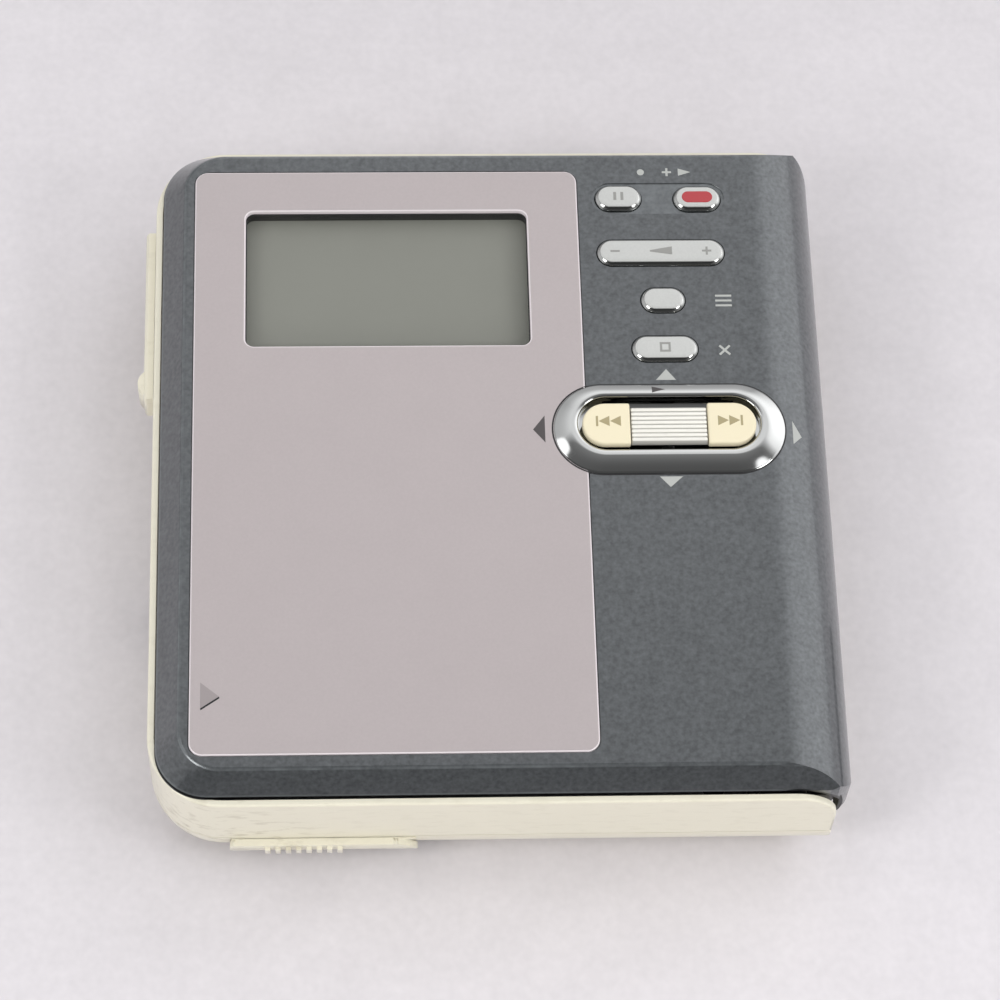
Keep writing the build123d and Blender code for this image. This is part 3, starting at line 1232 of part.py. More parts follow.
def make_display_panel() -> Part:
    """Thin panel let into the lid, with a bevelled edge, the display opening and two cut arrows."""
    top = CASE_HEIGHT + PANEL_PROUD
    with BuildPart() as panel:
        add(panel_form(0, (top - PANEL_T, top)))
        add(window_form(0, (top - PANEL_T, top)), mode=Mode.SUBTRACT)
        upper = panel.faces().sort_by(Axis.Z)[-1]
        chamfer(upper.outer_wire().edges(), PANEL_EDGE / 2)
        chamfer(panel.faces().sort_by(Axis.Z)[-1].inner_wires()[0].edges(), PANEL_EDGE)
        for points in PANEL_ARROWS:
            add(triangle(points, top - PANEL_MARK_DEPTH, PANEL_MARK_DEPTH), mode=Mode.SUBTRACT)
    return panel.part


def make_display_window() -> Part:
    """Clear plate under the lid's skin, larger than its opening."""
    with BuildPart() as window:
        add(window_form(WINDOW_FLANGE, (WINDOW_Z, WINDOW_Z + WINDOW_T)))
        add(window_form(-KEY_GAP, (WINDOW_Z + WINDOW_T, SKIN_Z + LID_WALL / 2)))
    return window.part


def make_lcd_module() -> Part:
    """Display cell in a thin frame under the window."""
    with BuildPart() as lcd:
        add(window_form(WINDOW_FLANGE + 0.3, (LCD_Z, LCD_Z + LCD_T - LCD_FRAME_T)))
        add(window_form(WINDOW_FLANGE, (LCD_Z + LCD_T - LCD_FRAME_T, LCD_Z + LCD_T)))
        add(window_form(0.2, (LCD_Z + LCD_T - LCD_FRAME_T / 2, LCD_Z + 2 * LCD_T)), mode=Mode.SUBTRACT)
    return lcd.part


def make_key_board() -> Part:
    """Board under the keys with a snap dome below each and a flat switch below the bar."""
    top = KEY_BOARD_Z + KEY_BOARD_T
    with BuildPart() as board:
        with BuildSketch(Plane.XY.offset(KEY_BOARD_Z)):
            with Locations((middle(KEY_BOARD_X), middle(KEY_BOARD_Y))):
                RectangleRounded(width(KEY_BOARD_X), width(KEY_BOARD_Y), BOARD_R)
        extrude(amount=KEY_BOARD_T)
        for x, y in dome_places():
            with Locations((x, y, top)):
                Cone(DOME_R, DOME_R / 2, DOME_T, align=(Align.CENTER, Align.CENTER, Align.MIN))
        with Locations((KEY_COLUMN_X, RING_Y, top)):
            Box(5.0, 5.0, DISH_T / 5, align=(Align.CENTER, Align.CENTER, Align.MIN))
    return board.part


def dome_places() -> list:
    """Middles of the snap domes: one under each key, two under the rocker."""
    rock = VOLUME_KEY[2] / 4
    places = [(key[0], key[1]) for key in (PAUSE_KEY, RECORD_KEY, SEARCH_KEY, CANCEL_KEY)]
    return places + [(VOLUME_KEY[0] - rock, VOLUME_KEY[1]), (VOLUME_KEY[0] + rock, VOLUME_KEY[1])]


def make_lid_inner_plate() -> Part:
    """Inner plate of the lid: sheet with two pressed stiffening beads and countersunk holes."""
    y_edge = LID_HALF_Y - LID_WALL - 1.0
    with BuildPart() as plate:
        with BuildSketch(Plane.XY.offset(TRAY_Z)) as plan:
            with Locations(((TRAY_X + TRAY_END) / 2, 0)):
                Rectangle(TRAY_END - TRAY_X, 2 * y_edge)
            fillet(plan.vertices().group_by(Axis.X)[0], LID_CORNER_R - 2.0)
        extrude(amount=TRAY_T)
        with BuildSketch(Plane.XY.offset(TRAY_Z)):
            for y in TRAY_BEADS_Y:
                with Locations(((TRAY_X + TRAY_END) / 2, y)):
                    SlotOverall(BEAD_SIZE[0], BEAD_SIZE[1])
        extrude(amount=TRAY_T / 2, mode=Mode.SUBTRACT)
        for x, y in LID_BOSSES:
            add(screw_hole(x, y, TRAY_Z, LID_SCREW_L, up=True), mode=Mode.SUBTRACT)
    return plate.part


def make_lid_screws() -> Part:
    """Screws that hold the inner plate to the lid's bosses."""
    with BuildPart() as screws:
        for x, y in LID_BOSSES:
            add(screw(x, y, TRAY_Z, LID_SCREW_L, up=True))
    return screws.part


def make_control_ring() -> Part:
    """Bright bezel round the control bar: rounded crest, sloping mouth, dish and two gimbal lugs."""
    crest = CASE_HEIGHT + RING_TOP
    floor = DISH_Z - DISH_T
    with BuildPart() as ring:
        add(ring_space(RING_SIZE, 0, (CASE_HEIGHT, crest)))
        fillet(ring.faces().sort_by(Axis.Z)[-1].outer_wire().edges(), RING_TOP - RUN_GAP)
        add(ring_space(RING_BODY, 0, (floor, CASE_HEIGHT)))
        add(ring_space(RING_MOUTH, 0, (DISH_Z, crest)), mode=Mode.SUBTRACT)
        with BuildSketch(Plane.XY.offset(crest - RING_SLOPE)):
            with Locations((KEY_COLUMN_X, RING_Y)):
                SlotOverall(RING_MOUTH[0], RING_MOUTH[1])
        extrude(amount=RING_SLOPE, taper=-RING_TAPER, mode=Mode.SUBTRACT)
        with Locations((KEY_COLUMN_X, RING_Y, floor)):
            Cylinder(DISH_HOLE_R, 2 * DISH_T, align=(Align.CENTER, Align.CENTER, Align.MIN),
                     mode=Mode.SUBTRACT)
        for side in (-1, 1):
            lug = sorted((RING_Y + side * LUG_Y[0], RING_Y + side * LUG_Y[1]))
            add(slab((KEY_COLUMN_X - LUG_HALF_X, KEY_COLUMN_X + LUG_HALF_X), lug, (GIMBAL_Z - 0.45, floor)))
            add(disc_along_y(GIMBAL_PIN_R + RUN_GAP, lug, KEY_COLUMN_X, GIMBAL_Z), mode=Mode.SUBTRACT)
    return ring.part


def make_stick_gimbal() -> Part:
    """Small ring under the dish that tilts on two pins and carries the stem."""
    with BuildPart() as gimbal:
        with Locations((KEY_COLUMN_X, RING_Y, GIMBAL_Z)):
            Cylinder(GIMBAL_R[1], GIMBAL_T)
            Cylinder(GIMBAL_R[0], GIMBAL_T, mode=Mode.SUBTRACT)
        for side in (-1, 1):
            pin = sorted((RING_Y + side * (GIMBAL_R[1] - 0.2), RING_Y + side * (LUG_Y[1] - 0.1)))
            add(disc_along_y(GIMBAL_PIN_R, pin, KEY_COLUMN_X, GIMBAL_Z))
        reach = (KEY_COLUMN_X - GIMBAL_R[1], KEY_COLUMN_X + GIMBAL_R[1])
        add(disc_along_x(GIMBAL_PIN_R + RUN_GAP, reach, RING_Y, GIMBAL_Z), mode=Mode.SUBTRACT)
    return gimbal.part


def make_stick_stem() -> Part:
    """Stem of the control bar with its two cross pins."""
    low = GIMBAL_Z - GIMBAL_T / 2
    with BuildPart() as stem:
        with Locations((KEY_COLUMN_X, RING_Y, low)):
            Cylinder(STEM_R, STEM_TOP_Z - low, align=(Align.CENTER, Align.CENTER, Align.MIN))
        chamfer(stem.faces().sort_by(Axis.Z)[-1].edges(), STEM_R / 5)
        reach = GIMBAL_R[1] - 0.15
        add(disc_along_x(GIMBAL_PIN_R, (KEY_COLUMN_X - reach, KEY_COLUMN_X + reach), RING_Y, GIMBAL_Z))
    return stem.part


def make_stick_carrier() -> Part:
    """Plate under the caps of the control bar with a tube that slides on the stem."""
    low = BAR_TOP_Z - BAR_T - CARRIER_T
    with BuildPart() as carrier:
        add(stadium(CARRIER_SIZE[0], CARRIER_SIZE[1], (low, low + CARRIER_T), KEY_COLUMN_X, RING_Y))
        with Locations((KEY_COLUMN_X, RING_Y, TUBE_Z)):
            Cylinder(STEM_TUBE_R, low - TUBE_Z, align=(Align.CENTER, Align.CENTER, Align.MIN))
            Cylinder(STEM_R + RUN_GAP, low - TUBE_Z, align=(Align.CENTER, Align.CENTER, Align.MIN),
                     mode=Mode.SUBTRACT)
    return carrier.part


def bar_form() -> Part:
    """Whole control bar: round ends and a softly rounded top."""
    low = BAR_TOP_Z - BAR_T
    with BuildPart(mode=Mode.PRIVATE) as bar:
        add(stadium(BAR_LENGTH, BAR_WIDTH, (low, BAR_TOP_Z), KEY_COLUMN_X, RING_Y))
        fillet(bar.faces().sort_by(Axis.Z)[-1].edges(), BAR_ROUND)
    return bar.part


def grip_span(grow: float) -> tuple:
    """Span of the ribbed grip along X, grown by grow."""
    centre = KEY_COLUMN_X + GRIP_OFFSET
    return centre - GRIP_LENGTH / 2 - grow, centre + GRIP_LENGTH / 2 + grow


def end_cap(side: int) -> Part:
    """One outer cap of the control bar with a cut double arrow and stroke."""
    span = grip_span(CAP_GAP)
    x = (span[1], span[1] + BAR_LENGTH) if side > 0 else (span[0] - BAR_LENGTH, span[0])
    with BuildPart(mode=Mode.PRIVATE) as cap:
        add(bar_form())
        add(slab(x, (-BAR_WIDTH, BAR_WIDTH + RING_Y), (0, CASE_HEIGHT + BAR_TOP_Z)), mode=Mode.INTERSECT)
        start = KEY_COLUMN_X + side * SKIP_MARK_X
        rise = SKIP_MARK[1] / 2
        for k in range(2):
            base = start + side * k * (SKIP_MARK[0] + RUN_GAP)
            points = [(base, SKIP_MARK_Y + rise), (base, SKIP_MARK_Y - rise),
                      (base + side * SKIP_MARK[0], SKIP_MARK_Y)]
            add(triangle(points, BAR_TOP_Z - SKIP_MARK[2], 1.0), mode=Mode.SUBTRACT)
        tip = start + side * 2 * (SKIP_MARK[0] + RUN_GAP)
        stroke = sorted((tip, tip + side * 2 * MARK_LINE))
        add(slab(stroke, (SKIP_MARK_Y - rise, SKIP_MARK_Y + rise), (BAR_TOP_Z - SKIP_MARK[2], BAR_TOP_Z)),
            mode=Mode.SUBTRACT)
    return cap.part


def make_skip_back_cap() -> Part:
    """Left cap of the control bar."""
    return end_cap(-1)


def make_skip_forward_cap() -> Part:
    """Right cap of the control bar."""
    return end_cap(1)


def make_ribbed_grip() -> Part:
    """Middle of the control bar, with lengthwise grip ribs."""
    span = grip_span(0)
    low = BAR_TOP_Z - BAR_T
    half = GRIP_WIDTH / 2
    pitch = GRIP_WIDTH / GRIP_RIBS
    with BuildPart() as grip:
        add(slab(span, (RING_Y - half, RING_Y + half), (low, BAR_TOP_Z)))
        fillet(grip.faces().sort_by(Axis.Z)[-1].edges().filter_by(Axis.X), BAR_ROUND)
        with BuildSketch(Plane.YZ.offset(span[0])):
            for k in range(1, GRIP_RIBS):
                y = RING_Y - half + k * pitch
                with BuildLine():
                    Polyline((y - pitch / 4, BAR_TOP_Z + 0.01), (y + pitch / 4, BAR_TOP_Z + 0.01),
                             (y, BAR_TOP_Z - GRIP_GROOVE), close=True)
                make_face()
        extrude(amount=width(span), mode=Mode.SUBTRACT)
    return grip.part


# ---------------------------------------------------------------- keys
def key_part(key: tuple, stems: list) -> Part:
    """Key: bevelled stadium cap, a flange under the lid's skin and its stems."""
    top = CASE_HEIGHT + KEY_TOP
    flange = (SKIN_Z - KEY_REST - KEY_FLANGE_T, SKIN_Z - KEY_REST)
    with BuildPart(mode=Mode.PRIVATE) as piece:
        add(chamfered(key_space(key, 0, (flange[0], top)), KEY_EDGE))
        add(key_space(key, KEY_FLANGE, flange))
        for x, y in stems:
            with Locations((x, y, KEY_STEM_Z)):
                Cylinder(KEY_STEM_R, flange[0] - KEY_STEM_Z, align=(Align.CENTER, Align.CENTER, Align.MIN))
    return piece.part


def make_pause_button() -> Part:
    """Pause key with its two sunk strokes."""
    x, y = PAUSE_KEY[:2]
    top = CASE_HEIGHT + KEY_TOP
    with BuildPart() as piece:
        add(key_part(PAUSE_KEY, [(x, y)]))
        for shift in (-3 * MARK_LINE, 3 * MARK_LINE):
            stroke = (x + shift - MARK_LINE, x + shift + MARK_LINE)
            add(slab(stroke, (y - MARK_HALF, y + MARK_HALF), (top - KEY_MARK, top)), mode=Mode.SUBTRACT)
    return piece.part


def make_record_button() -> Part:
    """Record key with a pocket for its coloured insert."""
    x, y = RECORD_KEY[:2]
    top = CASE_HEIGHT + KEY_TOP
    length, breadth, depth = RECORD_INSERT
    with BuildPart() as piece:
        add(key_part(RECORD_KEY, [(x, y)]))
        add(stadium(length, breadth, (top - depth, top + 1), x, y), mode=Mode.SUBTRACT)
    return piece.part


def make_record_insert() -> Part:
    """Coloured insert of the record key."""
    x, y = RECORD_KEY[:2]
    top = CASE_HEIGHT + KEY_TOP
    length, breadth, depth = RECORD_INSERT
    with BuildPart() as piece:
        add(chamfered(stadium(length, breadth, (top - depth, top + RUN_GAP), x, y), RUN_GAP))
    return piece.part


def make_volume_rocker() -> Part:
    """Long rocker with a minus and a plus, a short flange and a knife edge to rock on."""
    x, y = VOLUME_KEY[:2]
    top = CASE_HEIGHT + KEY_TOP
    rock = VOLUME_KEY[2] / 4
    mark_x = VOLUME_KEY[2] * MARK_SHARE
    z = (top - KEY_MARK, top)
    with BuildPart() as piece:
        add(key_part(VOLUME_KEY, [(x - rock, y), (x + rock, y)]))
        for mark in (x - mark_x, x + mark_x):
            stroke = slab((mark - MARK_HALF, mark + MARK_HALF), (y - MARK_LINE, y + MARK_LINE), z)
            add(stroke, mode=Mode.SUBTRACT)
        plus = (x + mark_x - MARK_LINE, x + mark_x + MARK_LINE)
        add(slab(plus, (y - MARK_HALF, y + MARK_HALF), z), mode=Mode.SUBTRACT)
    return piece.part


def make_search_button() -> Part:
    """Plain short key."""
    with BuildPart() as piece:
        add(key_part(SEARCH_KEY, [(SEARCH_KEY[0], SEARCH_KEY[1])]))
    return piece.part


def make_cancel_button() -> Part:
    """Longer key with a sunk square."""
    x, y = CANCEL_KEY[:2]
    top = CASE_HEIGHT + KEY_TOP
    with BuildPart() as piece:
        add(key_part(CANCEL_KEY, [(x, y)]))
        for half, mode in ((MARK_HALF, Mode.SUBTRACT), (MARK_HALF - 2 * MARK_LINE, Mode.ADD)):
            add(slab((x - half, x + half), (y - half, y + half), (top - KEY_MARK, top)), mode=mode)
    return piece.part


# ---------------------------------------------------------------- sliders, door and back wall
def make_open_slider() -> Part:
    """Long sliding catch on the left wall: rounded strip, lengthwise groove, nub at its front."""
    strip_x = (LEFT - OPEN_PROUD, LEFT - SLIDE_GAP)
    y = middle(OPEN_Y)
    z = middle(OPEN_Z)
    with BuildPart() as slider:
        add(slab(strip_x, OPEN_Y, OPEN_Z))
        fillet(slider.faces().sort_by(Axis.X)[0].edges(), OPEN_ROUND)
        nub_x = strip_x[0] + OPEN_NUB_R - OPEN_NUB
        with BuildSketch(Plane.XY.offset(OPEN_Z[0] + OPEN_NUB_STEP)):
            with Locations((nub_x, OPEN_Y[0] + OPEN_NUB_R + OPEN_NUB_STEP)):
                Circle(OPEN_NUB_R)
            with Locations((strip_x[1] + OPEN_NUB_R, middle(OPEN_Y))):
                Rectangle(2 * OPEN_NUB_R, width(OPEN_Y), mode=Mode.SUBTRACT)
        extrude(amount=width(OPEN_Z) - 2 * OPEN_NUB_STEP)
        add(slab((strip_x[0] - 0.5, strip_x[0] + OPEN_GROOVE), (OPEN_Y[0] + 4.6, OPEN_Y[1] - 0.6),
                 (z - OPEN_GROOVE / 2, z + OPEN_GROOVE / 2)), mode=Mode.SUBTRACT)
        add(slab((strip_x[1] - 0.2, LEFT + WALL + SLIDE_GAP + 0.1),
                 (y - OPEN_POST[0] / 2, y + OPEN_POST[0] / 2), (z - OPEN_POST[1] / 2, z + OPEN_POST[1] / 2)))
    return slider.part


def make_latch_plate() -> Part:
    """Sheet plate behind the left wall that the open slider drives."""
    y = middle(OPEN_Y)
    z = middle(OPEN_Z)
    x = (LEFT + WALL + SLIDE_GAP, LEFT + WALL + SLIDE_GAP + LATCH_T)
    with BuildPart() as latch:
        add(slab(x, (y - LATCH_HALF_Y, y + LATCH_HALF_Y), (OPEN_Z[0] - 0.5, OPEN_Z[1] - 0.4)))
        post_y = (y - OPEN_POST[0] / 2, y + OPEN_POST[0] / 2)
        add(slab(x, post_y, (z - OPEN_POST[1] / 2, z + OPEN_POST[1] / 2)),
            mode=Mode.SUBTRACT)
        add(slab((LEFT + WALL + SLIDE_GAP, LEFT + WALL + SLIDE_GAP + 0.1),
                 (y - OPEN_POST[0] / 2, y + OPEN_POST[0] / 2), (z - OPEN_POST[1] / 2, z + OPEN_POST[1] / 2)),
            mode=Mode.SUBTRACT)
    return latch.part


def make_hold_slider() -> Part:
    """Small sliding switch in the back wall with three grip ribs."""
    back = CASE_DEPTH / 2
    y_out = back + HOLD_PROUD
    with BuildPart() as slider:
        add(slab((HOLD_X - HOLD_SIZE[0] / 2, HOLD_X + HOLD_SIZE[0] / 2), (back + RUN_GAP, y_out),
                 (HOLD_Z - HOLD_SIZE[1] / 2, HOLD_Z + HOLD_SIZE[1] / 2)))
        fillet(slider.edges().filter_by(Axis.Y), HOLD_SIZE[1] / 3)
        for k in (-1, 0, 1):
            x = HOLD_X + k * HOLD_SIZE[0] / 6
            groove = (x - HOLD_GROOVE, x + HOLD_GROOVE)
            add(slab(groove, (y_out - HOLD_GROOVE, y_out), (0, CASE_HEIGHT)), mode=Mode.SUBTRACT)
        post_x = (HOLD_X - HOLD_POST[0] / 2, HOLD_X + HOLD_POST[0] / 2)
        add(slab(post_x, (back - 2 * WALL, back + 2 * RUN_GAP),
                 (HOLD_Z - HOLD_POST[1] / 2, HOLD_Z + HOLD_POST[1] / 2)))
    return slider.part


MAKERS = {
    "base_frame": make_base_frame,
    "bottom_cover": make_bottom_cover,
    "bottom_screws": make_bottom_screws,
    "deck_plate": make_deck_plate,
    "deck_screws": make_deck_screws,
    "hinge_pins": make_hinge_pins,
    "main_board": make_main_board,
    "battery": make_battery,
    "battery_contact": make_battery_contact,
    "usb_socket": make_usb_socket,
    "spindle_motor": make_spindle_motor,
    "turntable": make_turntable,
    "clamp_magnet": make_clamp_magnet,
    "guide_rods": make_guide_rods,
    "optical_pickup": make_optical_pickup,
    "lens_holder": make_lens_holder,
    "objective_lens": make_objective_lens,
    "lead_screw": make_lead_screw,
    "screw_gear": make_screw_gear,
    "screw_brackets": make_screw_brackets,
    "motor_pinion": make_motor_pinion,
    "sled_motor": make_sled_motor,
    "disc_holder": make_disc_holder,
    "cartridge_springs": make_cartridge_springs,
    "lid_shell": make_lid_shell,
    "lid_inner_plate": make_lid_inner_plate,
    "lid_screws": make_lid_screws,
    "display_panel": make_display_panel,
    "display_window": make_display_window,
    "lcd_module": make_lcd_module,
    "key_board": make_key_board,
    "control_ring": make_control_ring,
    "stick_gimbal": make_stick_gimbal,
    "stick_stem": make_stick_stem,
    "stick_carrier": make_stick_carrier,
    "skip_back_cap": make_skip_back_cap,
    "skip_forward_cap": make_skip_forward_cap,
    "ribbed_grip": make_ribbed_grip,
    "pause_button": make_pause_button,
    "record_button": make_record_button,
    "record_insert": make_record_insert,
    "volume_rocker": make_volume_rocker,
    "search_button": make_search_button,
    "cancel_button": make_cancel_button,
    "open_slider": make_open_slider,
    "latch_plate": make_latch_plate,
    "hold_slider": make_hold_slider,
    "battery_door_pin": make_battery_door_pin,
    "battery_door": make_battery_door,
}

if __name__ == "__main__":
    os.makedirs("parts", exist_ok=True)
    for name, maker in MAKERS.items():
        export(maker(), name)
    for name, x in JACK_X.items():
        export(make_jack(x, JACK_R, JACK_COLLAR_R), name)
    export(make_jack(DC_JACK_X, DC_JACK_R, DC_COLLAR_R), "dc_jack")
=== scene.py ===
"""Dressed model of a pocket disc player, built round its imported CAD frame.

All sizes are in millimetres and turned to metres where a mesh is made. X is to the right, Y to the
back and Z up; the origin is on the table, under the middle of the case.
"""
import json
import logging
import math
from dataclasses import dataclass, field
from enum import IntEnum
from typing import Callable, ClassVar, Optional, Union

import bmesh
import bpy
import numpy as np
from mathutils import Matrix, Vector


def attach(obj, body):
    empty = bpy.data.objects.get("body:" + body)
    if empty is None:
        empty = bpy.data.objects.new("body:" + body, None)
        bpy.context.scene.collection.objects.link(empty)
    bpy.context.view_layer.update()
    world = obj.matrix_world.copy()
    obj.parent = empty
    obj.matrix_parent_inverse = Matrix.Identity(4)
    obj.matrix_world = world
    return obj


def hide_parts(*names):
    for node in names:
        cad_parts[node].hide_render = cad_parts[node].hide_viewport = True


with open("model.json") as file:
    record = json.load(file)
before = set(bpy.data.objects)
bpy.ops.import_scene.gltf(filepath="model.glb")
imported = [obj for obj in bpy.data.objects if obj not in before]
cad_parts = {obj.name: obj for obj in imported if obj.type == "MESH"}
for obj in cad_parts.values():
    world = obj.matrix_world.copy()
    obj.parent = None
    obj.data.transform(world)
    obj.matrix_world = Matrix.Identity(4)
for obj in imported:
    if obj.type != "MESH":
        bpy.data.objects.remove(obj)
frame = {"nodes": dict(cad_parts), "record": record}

LOG = logging.getLogger("player")
MM = 0.001
HAIR = 0.001
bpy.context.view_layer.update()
NODES = frame["nodes"]
BODY_OF = {
    node: body for body, members in frame["record"]["behaviour"]["bodies"].items() for node in members
}
SLOT_OF = {part["node"]: part["material_slot"] for part in frame["record"]["subparts"]}


# ------------------------------------------------------------------ shader maths
Number = Union[int, float]
Colour = tuple[float, float, float, float]
Span = tuple[float, float]


def linear(red: Number, green: Number, blue: Number) -> Colour:
    """Turn a screen colour, 0 to 255, into the linear colour that shaders take.

    Args:
        red: red part.
        green: green part.
        blue: blue part.

    Returns:
        The colour with an alpha of 1.
    """
    parts = []
    for value in (red, green, blue):
        share = value / 255
        parts.append(share / 12.92 if share <= 0.04045 else ((share + 0.055) / 1.055) ** 2.4)
    return (parts[0], parts[1], parts[2], 1.0)


class Value:
    """One number socket that can be used in Python expressions."""

    def __init__(self, sheet: "ShaderSheet", socket: bpy.types.NodeSocket) -> None:
        """Keep the shader sheet and the output socket that lies on it."""
        self.sheet = sheet
        self.socket = socket

    def _math(self, operation: str, *inputs: Union["Value", Number], clamp: bool = False) -> "Value":
        """Add one Math node.

        Args:
            operation: the Math node's operation.
            inputs: its inputs in order.
            clamp: keep the result between 0 and 1.

        Returns:
            Its result.
        """
        settings = {"operation": operation, "use_clamp": clamp}
        made = self.sheet.node("ShaderNodeMath", settings, dict(enumerate(inputs)))
        return Value(self.sheet, made.outputs[0])

    def __add__(self, other: Union["Value", Number]) -> "Value":
        """Sum."""
        return self._math("ADD", self, other)

    __radd__ = __add__

    def __sub__(self, other: Union["Value", Number]) -> "Value":
        """Difference."""
        return self._math("SUBTRACT", self, other)

    def __rsub__(self, other: Number) -> "Value":
        """Difference from a number."""
        return self._math("SUBTRACT", other, self)

    def __mul__(self, other: Union["Value", Number]) -> "Value":
        """Product."""
        return self._math("MULTIPLY", self, other)

    __rmul__ = __mul__

    def __abs__(self) -> "Value":
        """Distance from zero."""
        return self._math("ABSOLUTE", self)

    def above(self, edge: Number, soft: Number) -> "Value":
        """Soft step from 0 to 1: half done at the edge, and twice the softness wide."""
        return self._math("MULTIPLY_ADD", self, 0.5 / soft, 0.5 - 0.5 * edge / soft, clamp=True)

    def within(self, middle: Number, half: Number, soft: Number) -> "Value":
        """Mask that is 1 inside a band of some half width round its middle, with soft edges."""
        return 1 - abs(self - middle).above(half, soft)

    def at_least(self, lowest: Number) -> "Value":
        """The value, or the lowest that it may be."""
        return self._math("MAXIMUM", self, lowest)

    def root(self) -> "Value":
        """Square root."""
        return self._math("SQRT", self)


class ShaderSheet:
    """A node tree with one method that adds any node."""

    noise_roughness = 0.55

    def __init__(self, tree: bpy.types.NodeTree) -> None:
        """Clear the tree and keep it.

        Args:
            tree: the node tree of a material or a world.
        """
        self.tree = tree
        tree.nodes.clear()
        self._place: Optional[tuple[Value, Value, Value]] = None

    def node(self, kind: str, settings: Optional[dict] = None,
             inputs: Optional[dict] = None) -> bpy.types.Node:
        """Add a node, set its settings first and then its sockets.

        Args:
            kind: the node's type.
            settings: attributes of the node.
            inputs: values or links by socket name or number.

        Returns:
            The node.
        """
        made = self.tree.nodes.new(kind)
        for name, value in (settings or {}).items():
            setattr(made, name, value)
        for name, value in (inputs or {}).items():
            socket = made.inputs[name]
            if isinstance(value, Value):
                self.tree.links.new(value.socket, socket)
            elif isinstance(value, bpy.types.NodeSocket):
                self.tree.links.new(value, socket)
            else:
                socket.default_value = value
        return made

    def place(self) -> tuple[Value, Value, Value]:
        """Place on the object in millimetres, as three values, made once for the sheet."""
        if self._place is None:
            where = self.node("ShaderNodeTexCoord").outputs["Object"]
            parts = self.node("ShaderNodeSeparateXYZ", inputs={0: where})
            self._place = tuple(Value(self, parts.outputs[k]) * (1 / MM) for k in range(3))
        return self._place

    def noise(self, size: float, detail: float = 2.0, stretch: tuple = (1.0, 1.0, 1.0)) -> Value:
        """Soft noise on object coordinates.

        Args:
            size: size of one blotch in millimetres.
            detail: how many finer layers are added.
            stretch: how much longer a blotch is along each axis.

        Returns:
            The noise, about 0.5 on average.
        """
        where = self.node("ShaderNodeTexCoord").outputs["Object"]
        scale = tuple(1 / share for share in stretch)
        turned = self.node("ShaderNodeMapping", None, {"Vector": where, "Scale": scale})
        inputs = {"Vector": turned.outputs[0], "Scale": 1 / (size * MM), "Detail": detail,
                  "Roughness": self.noise_roughness}
        return Value(self, self.node("ShaderNodeTexNoise", None, inputs).outputs[0])

    def mix(self, share: Union[Value, Number], first: object, second: object) -> bpy.types.NodeSocket:
        """Blend of two colours or sockets: a share of 0 gives the first, 1 the second."""
        settings = {"data_type": "RGBA", "clamp_factor": True}
        return self.node("ShaderNodeMix", settings, {0: share, 6: first, 7: second}).outputs[2]

    def scaled(self, colour: object, share: Value) -> bpy.types.NodeSocket:
        """Colour or socket made darker or lighter; a share of 1 leaves it as it is."""
        plain = colour if isinstance(colour, bpy.types.NodeSocket) else tuple(colour)[:3]
        return self.node("ShaderNodeVectorMath", {"operation": "SCALE"}, {0: plain, 3: share}).outputs[0]

    def bump(self, height: Value, depth: float) -> bpy.types.NodeSocket:
        """Bumped normal from a height of 0 to 1; the depth is the height of 1 in millimetres."""
        inputs = {"Strength": 1.0, "Distance": depth * MM, "Height": height}
        return self.node("ShaderNodeBump", None, inputs).outputs[0]


# ------------------------------------------------------------------ finishes
@dataclass(frozen=True)
class Finish:
    """A plain finish: one colour with a little unevenness and a fine grain.

    Mottle and grain are shares of the colour; noise strays from its middle by about a quarter, so it is
    multiplied by the swing to stray by about one.
    """

    swing: ClassVar[float] = 4.0
    name: str
    colour: Colour
    roughness: float = 0.4
    metallic: float = 0.0
    coat: float = 0.0
    coat_roughness: float = 0.08
    mottle: float = 0.0
    mottle_size: float = 6.0
    grain: float = 0.0
    grain_size: float = 0.25
    grain_depth: float = 0.0
    alpha: float = 1.0

    def surface(self, sheet: ShaderSheet) -> dict:
        """Inputs of the surface shader that this finish sets.

        Args:
            sheet: the material's sheet.

        Returns:
            Socket names with values or links.
        """
        inputs = {
            "Base Color": self.colour,
            "Roughness": self.roughness,
            "Metallic": self.metallic,
            "Coat Weight": self.coat,
            "Coat Roughness": self.coat_roughness,
            "Alpha": self.alpha,
        }
        if self.mottle > 0 or self.grain > 0:
            inputs["Base Color"] = self.speckled(sheet, self.colour)
        if self.grain_depth > 0:
            inputs["Normal"] = sheet.bump(sheet.noise(self.grain_size, 1.0), self.grain_depth)
        return inputs

    def speckled(self, sheet: ShaderSheet, colour: object) -> bpy.types.NodeSocket:
        """Colour with broad mottling and fine grain.

        Args:
            sheet: the material's sheet.
            colour: the plain colour or its socket.

        Returns:
            The colour socket.
        """
        broad = (sheet.noise(self.mottle_size, 3.0) - 0.5) * (self.swing * self.mottle)
        fine = (sheet.noise(self.grain_size, 1.0) - 0.5) * (self.swing * self.grain)
        return sheet.scaled(colour, broad + fine + 1.0)

    def material(self) -> bpy.types.Material:
        """The Blender material of this finish, made once."""
        title = f"{self.name}_finish"
        made = bpy.data.materials.get(title)
        if made is not None:
            return made
        made = bpy.data.materials.new(title)
        made.use_nodes = True
        sheet = ShaderSheet(made.node_tree)
        shader = sheet.node("ShaderNodeBsdfPrincipled", None, self.surface(sheet))
        sheet.node("ShaderNodeOutputMaterial", None, {"Surface": shader.outputs[0]})
        return made


